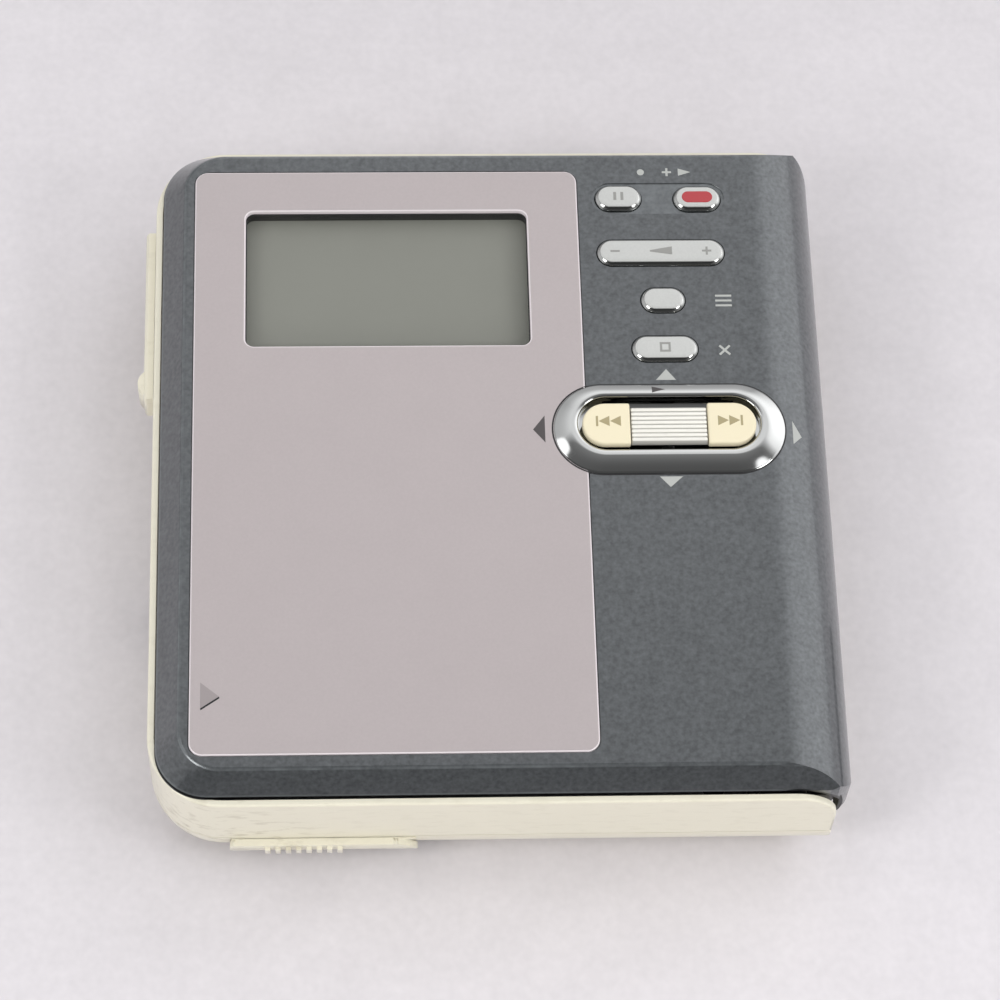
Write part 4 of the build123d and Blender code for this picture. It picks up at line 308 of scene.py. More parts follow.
@dataclass(frozen=True)
class KeyPlating(Finish):
    """Plated key: mirror-bright on its sloping edge, satin on its top."""

    flat_from: float = 21.14
    flat_soft: float = 0.03
    satin: Colour = linear(198, 199, 196)
    satin_rougher: float = 0.34
    satin_duller: float = 0.75
    mirror_roughness: float = 0.08

    def surface(self, sheet: ShaderSheet) -> dict:
        """Blend plating and satin by height.

        Args:
            sheet: the material's sheet.

        Returns:
            Socket names with values or links.
        """
        inputs = super().surface(sheet)
        flat = sheet.place()[2].above(self.flat_from, self.flat_soft)
        inputs["Base Color"] = sheet.mix(flat, self.colour, self.speckled(sheet, self.satin))
        inputs["Roughness"] = flat * self.satin_rougher + self.mirror_roughness
        inputs["Metallic"] = 1 - flat * self.satin_duller
        return inputs


@dataclass(frozen=True)
class LidLacquer(Finish):
    """Dark speckled lacquer with a pale painted highlight along the ridge, broken into dashes like wear,
    and a fainter painted highlight along the foot; black inside, as painted shade.

    Inside is what lies near the hinge axis: the distance from it, less a share of how far a point is
    past it, stays under a reach. The ridge and the foot are bands of (middle, half height, edge).
    """

    highlight_and_wear: Colour = linear(150, 156, 158)
    inside: Colour = linear(16, 16, 17)
    ridge: tuple[float, float, float] = (20.6, 0.06, 0.04)
    foot: tuple[float, float, float] = (17.62, 0.07, 0.05)
    foot_share: float = 0.3
    wear: Span = (0.4, 0.1)
    flat_end: Span = (30.45, 0.4)
    axis: Span = (30.95, 12.7)
    inner_reach: float = 4.78
    inner_growth: float = 0.3
    inner_soft: float = 0.03

    def surface(self, sheet: ShaderSheet) -> dict:
        """Add the painted highlight lines and the black painted shade inside.

        Args:
            sheet: the material's sheet.

        Returns:
            Socket names with values or links.
        """
        inputs = super().surface(sheet)
        x, _, z = sheet.place()
        wear = sheet.noise(1.6, 3.0).above(0.5, 0.2) * self.wear[0] + self.wear[1]
        flat_end = 1 - x.above(*self.flat_end)
        # painted highlight: a pale line along the ridge, in dashes like wear, and a fainter one along the
        # foot
        ridge = z.within(*self.ridge) * flat_end * wear
        foot = z.within(*self.foot) * flat_end * self.foot_share
        colour = sheet.mix(ridge + foot, inputs["Base Color"], self.highlight_and_wear)
        # painted shade: black on the lid's lower edge and round the hinge, for the dark gap under the lid
        beyond = (x - self.axis[0]).at_least(0.0)
        drop = z - self.axis[1]
        reach = (beyond * beyond + drop * drop).root()
        inside = 1 - (reach - beyond * self.inner_growth).above(self.inner_reach, self.inner_soft)
        inputs["Base Color"] = sheet.mix(inside, colour, self.inside)
        inputs["Metallic"] = (1 - inside) * self.metallic
        inputs["Coat Weight"] = (1 - inside) * self.coat
        return inputs


@dataclass(frozen=True)
class PanelMetal(Finish):
    """Satin metal plate with a bright edge, a painted highlight."""

    edge_highlight: Colour = linear(226, 218, 220)
    edge_below: float = 20.808
    edge_soft: float = 0.006

    def surface(self, sheet: ShaderSheet) -> dict:
        """Add the bright edge below the flat face, a painted highlight.

        Args:
            sheet: the material's sheet.

        Returns:
            Socket names with values or links.
        """
        inputs = super().surface(sheet)
        # painted highlight on the rounded rims of the plate and of its opening
        edge = 1 - sheet.place()[2].above(self.edge_below, self.edge_soft)
        inputs["Base Color"] = sheet.mix(edge, inputs["Base Color"], self.edge_highlight)
        inputs["Metallic"] = (1 - edge) * self.metallic
        return inputs


@dataclass(frozen=True)
class CaseShell(Finish):
    """Pale moulded shell with a few scuffs outside and a dark inside, which is painted shade.

    A point is inside where its distance past the centres of the rounded corners is less than the inner
    wall's, and it is high enough.
    """

    scuff: Colour = linear(172, 162, 136)
    inside: Colour = linear(40, 40, 41)
    corner: Span = (-32.35, 35.35)
    wall_reach: float = 5.77
    rise: float = 8.0
    inner_soft: float = 0.03
    scuff_corner: tuple[float, float, float] = (-32.0, -41.0, 5.0)
    scuff_reach: Span = (9.0, 6.0)
    scuff_shape: tuple[float, float, float] = (2.0, 1.0, 0.6)
    scuff_share: Span = (0.54, 0.1)

    def surface(self, sheet: ShaderSheet) -> dict:
        """Add the scuffs, thickest at the front left corner, and paint shade on the inside.

        Args:
            sheet: the material's sheet.

        Returns:
            Socket names with values or links.
        """
        inputs = super().surface(sheet)
        x, y, z = sheet.place()
        away = [value - start for value, start in zip((x, y, z), self.scuff_corner)]
        distance = (away[0] * away[0] + away[1] * away[1] + away[2] * away[2]).root()
        near = 1 - distance.above(*self.scuff_reach)
        share = near * self.scuff_share[0] + self.scuff_share[1]
        marks = sheet.noise(1.4, 4.0, self.scuff_shape).above(0.6, 0.07) * share
        colour = sheet.mix(marks, inputs["Base Color"], self.scuff)
        # painted shade: the case's inside, under the lid, is made dark
        beyond = ((self.corner[0] - x).at_least(0.0), (abs(y) - self.corner[1]).at_least(0.0))
        reach = (beyond[0] * beyond[0] + beyond[1] * beyond[1]).root()
        inner = 1 - reach.above(self.wall_reach, self.inner_soft)
        inner = inner * z.above(self.rise, self.inner_soft)
        inputs["Base Color"] = sheet.mix(inner, colour, self.inside)
        return inputs


@dataclass(frozen=True)
class RibbedGrip(Finish):
    """White grip with painted shade, grey, in the bottoms of its grooves."""

    groove: Colour = linear(168, 166, 160)
    level: float = 21.6
    soft: float = 0.05

    def surface(self, sheet: ShaderSheet) -> dict:
        """Add the painted shade by height.

        Args:
            sheet: the material's sheet.

        Returns:
            Socket names with values or links.
        """
        inputs = super().surface(sheet)
        # painted shade: grey below the rib tops
        low = 1 - sheet.place()[2].above(self.level, self.soft)
        inputs["Base Color"] = sheet.mix(low, inputs["Base Color"], self.groove)
        return inputs


class Look:
    """The finishes of all pieces."""

    lid = LidLacquer("lid_paint", linear(92, 95, 97), 0.3, 0.55, coat=0.6, mottle=0.07, mottle_size=2.0,
                     grain=0.2, grain_size=0.5, grain_depth=0.002)
    panel = PanelMetal("panel_metal", linear(184, 175, 175), 0.36, 0.35, mottle=0.012, mottle_size=5.0,
                       grain=0.02, grain_size=0.3)
    case = CaseShell("silver_plastic", linear(231, 226, 207), 0.3, 0.0, coat=0.3, mottle=0.01, grain=0.01)
    chrome = Finish("bright_ring", linear(208, 209, 207), 0.08, 1.0)
    pale_print = Finish("pale_print", linear(176, 178, 174), 0.5)
    dark_mark = Finish("dark_mark", linear(84, 80, 80), 0.4, 0.3)
    sunk_mark = Finish("sunk_mark", linear(158, 150, 150), 0.4, 0.3)
    key_mark = Finish("key_mark", linear(150, 150, 146), 0.4, 0.2)
    cap_mark = Finish("cap_mark", linear(166, 154, 118), 0.5)
    key = KeyPlating("bright_key", linear(200, 201, 198), 0.1, 1.0, mottle=0.02, grain=0.03)
    red = Finish("red_insert", linear(172, 54, 60), 0.3, 0.0, coat=0.3)
    cream = Finish("cream_cap", linear(232, 222, 192), 0.4, 0.0, mottle=0.01)
    grip = RibbedGrip("white_grip", linear(236, 234, 226), 0.38, 0.0, mottle=0.01)
    window = Finish("clear_window", (0.02, 0.02, 0.018, 1.0), 0.05, 0.0, alpha=0.08)
    lcd = Finish("lcd_face", linear(148, 149, 140), 0.5, 0.0, mottle=0.008)
    sheet = Finish("steel_sheet", linear(188, 188, 186), 0.34, 0.9, mottle=0.03)
    pin = Finish("steel_pin", linear(196, 196, 194), 0.2, 1.0)
    screw = Finish("dark_screw", linear(60, 60, 60), 0.35, 0.8)
    board = Finish("green_board", linear(34, 84, 56), 0.4, 0.0, mottle=0.05)
    battery = Finish("battery_sleeve", linear(52, 56, 62), 0.45, 0.0)
    contact = Finish("gold_contact", linear(212, 176, 108), 0.25, 1.0)
    black = Finish("black_plastic", linear(34, 34, 35), 0.4, 0.0)
    magnet = Finish("magnet", linear(88, 88, 90), 0.35, 0.8)
    lens = Finish("lens_glass", linear(150, 160, 205), 0.05, 0.0, coat=1.0)
    gear = Finish("white_gear", linear(214, 214, 208), 0.45, 0.0)
    brass = Finish("brass_pinion", linear(200, 168, 100), 0.25, 1.0)

    by_slot = {finish.name: finish for finish in (
        lid, panel, case, chrome, key, red, cream, grip, window, lcd, sheet, pin, screw, board, battery,
        contact, black, magnet, lens, gear, brass,
    )}


# ------------------------------------------------------------------ making and dressing pieces
@dataclass
class Workshop:
    """Makes objects from CAD nodes or from numpy grids and fits them to the frame."""

    made: list = field(default_factory=list)
    merge: float = 0.001
    weld: float = 0.0001
    crease: float = 32.0
    flat_area: float = 1.5
    tilt_steps: int = 500
    rise_steps: int = 50

    def dress(self, obj: bpy.types.Object, finish: Finish, body: str, slot: str,
              *nodes: str) -> bpy.types.Object:
        """Give a piece its finish and body.

        Args:
            obj: the piece.
            finish: its finish.
            body: CAD body that it rides on.
            slot: material slot of the record; not used.
            nodes: CAD nodes that it stands for.

        Returns:
            The piece.
        """
        obj.data.materials.clear()
        obj.data.materials.append(finish.material())
        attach(obj, body)
        if nodes:
            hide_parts(*nodes)
        self.made.append(obj)
        LOG.info("piece %s on %s, %d faces", obj.name, body, len(obj.data.polygons))
        return obj

    def from_node(self, node: str, finish: Optional[Finish] = None,
                  normals: Optional[Callable] = None) -> bpy.types.Object:
        """Merged and smoothed copy of a CAD node, which stands for it.

        Args:
            node: the CAD node's name.
            finish: its finish; the slot's own by default.
            normals: gives the true normals of a curved skin from corner places and face normals.

        Returns:
            The piece.
        """
        obj = self.finished(f"{node}_skin", NODES[node].data.copy(), self.merge, self.crease, False)
        self.even(obj.data, normals)
        chosen = finish or Look.by_slot[SLOT_OF[node]]
        return self.dress(obj, chosen, BODY_OF[node], SLOT_OF[node], node)

    def finished(self, name: str, mesh: bpy.types.Mesh, merge: float, sharp: float,
                 turn_out: bool) -> bpy.types.Object:
        """Object of a mesh whose doubles are merged and whose shading is smooth up to sharp edges.

        Args:
            name: the piece's name.
            mesh: its mesh.
            merge: points nearer than this, in millimetres, become one.
            sharp: edges steeper than this, in degrees, stay sharp.
            turn_out: work out which way the faces point, as loose grids need.

        Returns:
            The object, not yet dressed.
        """
        mesh.name = name
        work = bmesh.new()
        work.from_mesh(mesh)
        bmesh.ops.remove_doubles(work, verts=work.verts, dist=merge * MM)
        if turn_out:
            bmesh.ops.recalc_face_normals(work, faces=work.faces)
        work.to_mesh(mesh)
        work.free()
        mesh.shade_smooth()
        mesh.set_sharp_from_angle(angle=math.radians(sharp))
        obj = bpy.data.objects.new(name, mesh)
        bpy.context.scene.collection.objects.link(obj)
        return obj

    def even(self, mesh: bpy.types.Mesh, normals: Optional[Callable]) -> None:
        """Flat faces keep their own normal right up to a round edge, and round ones share theirs.

        A corner's normal is its face's own where the faces on the same plane add up to a large area.
        Otherwise it is the blended one. Planes are told apart by their rounded normal and distance.

        Args:
            mesh: the merged mesh.
            normals: gives the true normals of a curved skin, where there is one.
        """
        corner = self.read(mesh.corner_normals, "vector", 3)
        vertex = self.read(mesh.loops, "vertex_index")
        places = self.read(mesh.vertices, "co", 3)[vertex] / MM
        normal = self.read(mesh.polygons, "normal", 3)
        area = self.read(mesh.polygons, "area")
        size = self.read(mesh.polygons, "loop_total")
        face = np.repeat(np.arange(len(size)), size)
        first = np.concatenate([[0], np.cumsum(size)[:-1]])
        middle = np.add.reduceat(places, first) / size[:, None]
        distance = (normal * middle).sum(1, keepdims=True)
        plane = np.round(np.concatenate([normal * self.tilt_steps, distance * self.rise_steps], 1))
        _, group = np.unique(plane.astype(int), axis=0, return_inverse=True)
        group = group.ravel()
        spread = np.bincount(group, weights=area)[group] / MM ** 2
        flat = spread > self.flat_area
        corner[flat[face]] = normal[face][flat[face]]
        if normals is not None:
            corner = normals(places, normal[face], corner)
        mesh.normals_split_custom_set(corner.tolist())

    def read(self, items: bpy.types.bpy_prop_collection, name: str, width: int = 1) -> np.ndarray:
        """Read one attribute of all vertices, corners or faces.

        Args:
            items: the collection.
            name: the attribute's name.
            width: how many numbers each item has.

        Returns:
            Whole numbers (n,) for counts and indices, otherwise floats (n,) or (n, width).
        """
        whole = name in ("vertex_index", "loop_total")
        values = np.empty(len(items) * width, int if whole else float)
        items.foreach_get(name, values)
        return values if width == 1 else values.reshape(-1, width)

    def from_grids(self, name: str, grids: list[np.ndarray], close_u: bool, close_v: bool,
                   caps: bool = False, sharp: float = 40.0) -> bpy.types.Object:
        """Mesh from grids of points, each with rows along u and columns along v.

        Args:
            name: the piece's name.
            grids: arrays (rows, columns, 3) in millimetres.
            close_u: join the last row to the first.
            close_v: join the last column to the first.
            caps: close the first and the last row with a face.
            sharp: edges steeper than this, in degrees, stay sharp.

        Returns:
            The object, not yet dressed.
        """
        faces, start = [], 0
        for grid in grids:
            rows, columns = grid.shape[:2]
            index = start + np.arange(rows * columns).reshape(rows, columns)
            low = index if close_u else index[:-1]
            high = np.roll(index, -1, 0) if close_u else index[1:]
            if close_v:
                quads = np.stack([low, np.roll(low, -1, 1), np.roll(high, -1, 1), high], -1)
            else:
                quads = np.stack([low[:, :-1], low[:, 1:], high[:, 1:], high[:, :-1]], -1)
            faces += quads.reshape(-1, 4).tolist()
            if caps:
                faces += [index[0][::-1].tolist(), index[-1].tolist()]
            start += rows * columns
        points = np.concatenate([grid.reshape(-1, 3) for grid in grids])
        mesh = bpy.data.meshes.new(name)
        mesh.from_pydata((points * MM).tolist(), [], faces)
        return self.finished(name, mesh, self.weld, sharp, True)

    def extruded(self, name: str, section: np.ndarray, ends: Span, axis: int, body: str,
                 finish: Finish, slot: str) -> None:
        """Closed bar: a section carried straight along X or Y, dressed.

        Args:
            name: the piece's name.
            section: points (n, 2) in the other two axes.
            ends: where it starts and stops.
            axis: 0 along X, 1 along Y.
            body: the body that it rides on.
            finish: its finish.
            slot: its material slot.
        """
        grid = np.empty((2, len(section), 3))
        grid[..., axis] = np.array(ends)[:, None]
        grid[..., 1 - axis], grid[..., 2] = np.array(section).T
        obj = self.from_grids(name, [grid], False, True, True)
        self.dress(obj, finish, body, slot)


def outline(length: float, breadth: float, radius: Union[float, tuple], centre: Span,
            steps: int) -> tuple[np.ndarray, np.ndarray]:
    """Rounded rectangle: corner point plus radius times the outward direction, which turns evenly.

    Args:
        length: size along X.
        breadth: size along Y.
        radius: corner radius, or four of them from the back right corner anticlockwise.
        centre: middle in X and Y.
        steps: points on each corner.

    Returns:
        The points (n, 2) and the outward directions (n, 2), anticlockwise.
    """
    turn = np.linspace(0, math.pi / 2, steps + 1)
    points, outward = [], []
    radii = radius if isinstance(radius, tuple) else (radius,) * 4
    for quarter, side in enumerate(((1, 1), (-1, 1), (-1, -1), (1, -1))):
        angle = turn + quarter * math.pi / 2
        away = np.stack([np.cos(angle), np.sin(angle)], 1)
        straight = np.array([length / 2, breadth / 2]) - radii[quarter]
        points.append(np.array(centre) + np.array(side) * straight + radii[quarter] * away)
        outward.append(away)
    return np.concatenate(points), np.concatenate(outward)


def oval(size: Span, centre: Span, steps: int) -> tuple[np.ndarray, np.ndarray]:
    """Outline of some length and breadth whose ends are half circles."""
    return outline(*size, size[1] / 2 - HAIR, centre, steps)


def swept(path: tuple[np.ndarray, np.ndarray], profile: np.ndarray) -> np.ndarray:
    """Carry a profile round an outline.

    Each point moves in by the profile's first number, at the height of its second.

    Args:
        path: points and outward directions.
        profile: rows of (inset, height) in millimetres.

    Returns:
        Grid (profile rows, outline points, 3).
    """
    points, outward = path
    flat = points[None, :, :] - profile[:, None, :1] * outward[None, :, :]
    height = np.broadcast_to(profile[:, None, 1:], flat.shape[:2] + (1,))
    return np.concatenate([flat, height], -1)


def between(outer: np.ndarray, inner: np.ndarray, profile: np.ndarray) -> np.ndarray:
    """Band between two outlines.

    Each point is (1 - share) times the outer plus share times the inner, at the profile's height.

    Args:
        outer: points (n, 2) of the outer outline.
        inner: points (n, 2) of the inner outline.
        profile: rows of (share, height).

    Returns:
        Grid (profile rows, n, 3).
    """
    share = profile[:, None, :1]
    flat = (1 - share) * outer[None] + share * inner[None]
    height = np.broadcast_to(profile[:, None, 1:], flat.shape[:2] + (1,))
    return np.concatenate([flat, height], -1)


# ------------------------------------------------------------------ sub-assemblies
@dataclass
class Keys:
    """The five plated keys: middle in X and Y, length and breadth of each."""

    shop: Workshop
    top: float = 21.2
    foot: float = 19.1
    slope: float = 0.42
    dome: float = 0.035
    bend: tuple = ((0.0, -0.46), (0.02, -0.4), (0.12, -0.29), (0.3, -0.09), (0.38, -0.05))
    places: dict = field(default_factory=lambda: {
        "pause_button": (15.5, 33.17, 5.44, 3.45),
        "record_button": (24.8, 33.06, 5.57, 3.4),
        "volume_rocker": (20.18, 25.67, 14.92, 3.54),
        "search_button": (20.15, 19.25, 5.13, 3.35),
        "cancel_button": (20.08, 12.78, 7.64, 3.44),
    })

    def build(self) -> None:
        """Make every key."""
        for node, (x, y, length, breadth) in self.places.items():
            self.key(node, x, y, length, breadth)

    def key(self, node: str, x: float, y: float, length: float, breadth: float) -> None:
        """One key: an upright side, a rounded slope and a slightly domed top, a parabola over the inset.

        Args:
            node: CAD node that it stands for.
            x: middle along X.
            y: middle along Y.
            length: size along X.
            breadth: size along Y.
        """
        path = oval((length, breadth), (x, y), 18)
        share = np.linspace(0.0, 1.0, 6)
        inset = self.slope + share * (breadth / 2 - 10 * HAIR - self.slope)
        crown = np.stack([inset, self.top - self.dome * (1 - share) ** 2], 1)
        bend = np.array(self.bend) + (0, self.top)
        profile = np.concatenate([[[0.0, self.foot]], bend, crown])
        obj = self.shop.from_grids(f"{node}_cap", [swept(path, profile)], False, True, True, 50)
        self.shop.dress(obj, Look.key, BODY_OF[node], SLOT_OF[node], node)


class Side(IntEnum):
    """Which way a cap's round end points along X."""

    LEFT = -1
    RIGHT = 1


@dataclass
class ControlPad:
    """The bright oval bezel with the control bar in it.

    The bezel's section is given from its outer edge to its mouth as (share of the way in, height): a
    foot over the base, a slope that starts a little higher, and a fall under the crest past its share.
    """

    shop: Workshop
    centre: Span = (20.05, 2.3)
    outer: Span = (26.6, 11.5)
    mouth: Span = (20.9, 6.7)
    mouth_centre: Span = (20.05, 2.855)
    steps: int = 30
    stem_hole: float = 1.6
    base: float = 20.7
    crest: float = 21.35
    crest_share: float = 0.74
    section_foot: tuple = ((0.0, 0.01), (0.0, 0.05), (0.012, 0.08))
    section_start: Span = (0.03, 0.095)
    bulge: float = 0.25
    section_fall: tuple = ((0.12, 0.0), (0.3, -0.006), (0.5, -0.024), (0.68, -0.05), (0.82, -0.085),
                           (0.93, -0.15), (0.985, -0.26))
    wall_drops: tuple = (0.4, 1.0)
    dish: float = 19.6
    cap_x: Span = (10.08, 30.0)
    cap_y: Span = (-0.08, 5.2)
    cap_gap: float = 0.08
    cap_joint: float = 0.25
    cap_round: Span = (0.22, 0.3)
    cap_flat: float = 0.245
    cap_top: float = 21.735
    gap_film: float = 0.006
    gap_sunk: float = 0.05
    gap_width: float = 0.14
    panel_edge: float = 10.7
    panel_rise: float = 0.12
    bar_foot: float = 20.85
    grip_x: Span = (15.64, 24.34)
    grip_y: Span = (0.16, 4.7)
    grip_top: float = 21.75
    grip_margin: float = 0.1
    grip_rim: float = 0.12
    grip_ends: tuple = ((0.0, 0.3), (0.05, 0.12), (0.12, 0.03), (0.25, 0.0))
    ribs: int = 8
    rib_steps: int = 12
    groove: float = 0.22

    def build(self) -> None:
        """Make the bezel with a black line of painted shade round it, the grip and the caps."""
        self.bezel()
        self.shade_line()
        self.grip()
        left, right = self.grip_x[0] - self.cap_gap, self.grip_x[1] + self.cap_gap
        self.cap("skip_back_cap", (self.cap_x[0], left), Side.LEFT)
        self.cap("skip_forward_cap", (right, self.cap_x[1]), Side.RIGHT)
        self.shop.from_node("stick_carrier", Look.black)

    def cap(self, node: str, span: Span, side: Side) -> None:
        """Cap with one round end: an upright side, then a quarter of an ellipse into the flat top.

        Args:
            node: CAD node that it stands for.
            span: left and right end.
            side: which end is the round one.
        """
        breadth = self.cap_y[1] - self.cap_y[0]
        end, joint = breadth / 2 - HAIR, self.cap_joint
        radii = (end, joint, joint, end) if side is Side.RIGHT else (joint, end, end, joint)
        path = outline(span[1] - span[0], breadth, radii, (sum(span) / 2, sum(self.cap_y) / 2), 14)
        turn = np.linspace(0, math.pi / 2, 8)
        across, down = self.cap_round
        edge = np.stack([across * (1 - np.cos(turn)), self.cap_top - down * (1 - np.sin(turn))], 1)
        profile = np.concatenate([[[0.0, self.bar_foot]], edge, [[self.cap_flat, self.cap_top]]])
        obj = self.shop.from_grids(f"{node}_shell", [swept(path, profile)], False, True, True, 45)
        self.shop.dress(obj, Look.cream, "bar", "cream_cap", node)

    def shade_line(self) -> None:
        """Painted shade round the bezel: a black band outside the oval, on the skin and, further left, on the
        panel.
        """
        points, outward = oval(self.outer, self.centre, self.steps)
        band, lift = (-self.gap_sunk, self.gap_width), (-self.gap_sunk, self.gap_film)
        rows = []
        for away, rise in zip(np.repeat(band, 2), (*lift, *lift[::-1])):
            flat = points + away * outward
            level = self.base + np.where(flat[:, 0] < self.panel_edge, self.panel_rise, 0.0)
            rows.append(np.column_stack([flat, level + rise]))
        # painted shade: thin black film round the bezel
        obj = self.shop.from_grids("bezel_shade_line", [np.stack(rows)], True, True, sharp=30)
        self.shop.dress(obj, Look.black, "lid", "black_plastic")

    def slope(self) -> np.ndarray:
        """Section of the bezel from its outer edge to its mouth: rows of (share of the way in, height).

        The slope rises by (1 + bulge) * part - bulge * part ** 4 of the way to the crest.
        """
        foot = np.array(self.section_foot) + (0, self.base)
        share = np.linspace(self.section_start[0], self.crest_share, 12)
        start = self.base + self.section_start[1]
        part = share / self.crest_share
        rise = (self.crest - start) * ((1 + self.bulge) * part - self.bulge * part ** 4)
        fall = np.array(self.section_fall) * (1 - self.crest_share, 1) + (self.crest_share, self.crest)
        return np.concatenate([foot, np.stack([share, start + rise], 1), fall])

    def bezel(self) -> None:
        """Carry the section from the outer oval to the mouth, then drop a steep wall to the dish floor."""
        outer = oval(self.outer, self.centre, self.steps)[0]
        inner = oval(self.mouth, self.mouth_centre, self.steps)[0]
        hole = oval((2 * self.stem_hole, 2 * self.stem_hole), self.centre, self.steps)[0]
        wall = np.array([[1.0, self.crest - drop] for drop in self.wall_drops] + [[1.0, self.dish + 0.05]])
        floor = between(inner, hole, np.array([[0.03, self.dish], [1.0, self.dish]]))
        grid = np.concatenate([between(outer, inner, np.concatenate([self.slope(), wall])), floor])
        obj = self.shop.from_grids("bezel", [grid], False, True, sharp=60)
        self.shop.dress(obj, Look.chrome, "lid", "bright_ring", "control_ring")

    def rear_height(self, places: np.ndarray) -> np.ndarray:
        """Height of the slope behind the mouth, read off the section by the share of the way in.

        Args:
            places: points (n, 2) on the straight part behind the mouth.

        Returns:
            Their heights.
        """
        outer_y = self.centre[1] + self.outer[1] / 2
        inner_y = self.mouth_centre[1] + self.mouth[1] / 2
        section = self.slope()
        return np.interp((outer_y - places[:, 1]) / (outer_y - inner_y), section[:, 0], section[:, 1])

    def grip(self) -> None:
        """Ribbed pad of round ribs that falls to its foot at the rim.

        Each rib is the root of a cosine wave across the pad. The ends are (distance in, drop).
        """
        across = np.linspace(0, 1, self.ribs * self.rib_steps + 1)
        wave = self.groove * (0.5 - 0.5 * np.cos(across * self.ribs * 2 * math.pi)) ** 0.5
        height = self.grip_top - self.groove + wave
        front, back = self.grip_y
        y = front + self.grip_margin + (back - front - 2 * self.grip_margin) * across
        ends, drop = np.array([(0.0, self.grip_top - self.bar_foot), *self.grip_ends]).T
        x = np.concatenate([self.grip_x[0] + ends, [sum(self.grip_x) / 2], self.grip_x[1] - ends[::-1]])
        fall = np.concatenate([drop, [0.0], drop[::-1]])
        rim_y = np.concatenate([[front] * 2, y, [back] * 2])
        rim_z = np.concatenate([[self.bar_foot, height[0] - self.grip_rim], height,
                                [height[-1] - self.grip_rim, self.bar_foot]])
        grid = np.empty((len(x), len(rim_y), 3))
        grid[..., 0] = x[:, None]
        grid[..., 1] = rim_y[None]
        grid[..., 2] = np.maximum(self.bar_foot, rim_z[None] - fall[:, None])
        obj = self.shop.from_grids("grip_ribs", [grid], False, False, sharp=70)
        self.shop.dress(obj, Look.grip, "bar", "white_grip", "ribbed_grip")


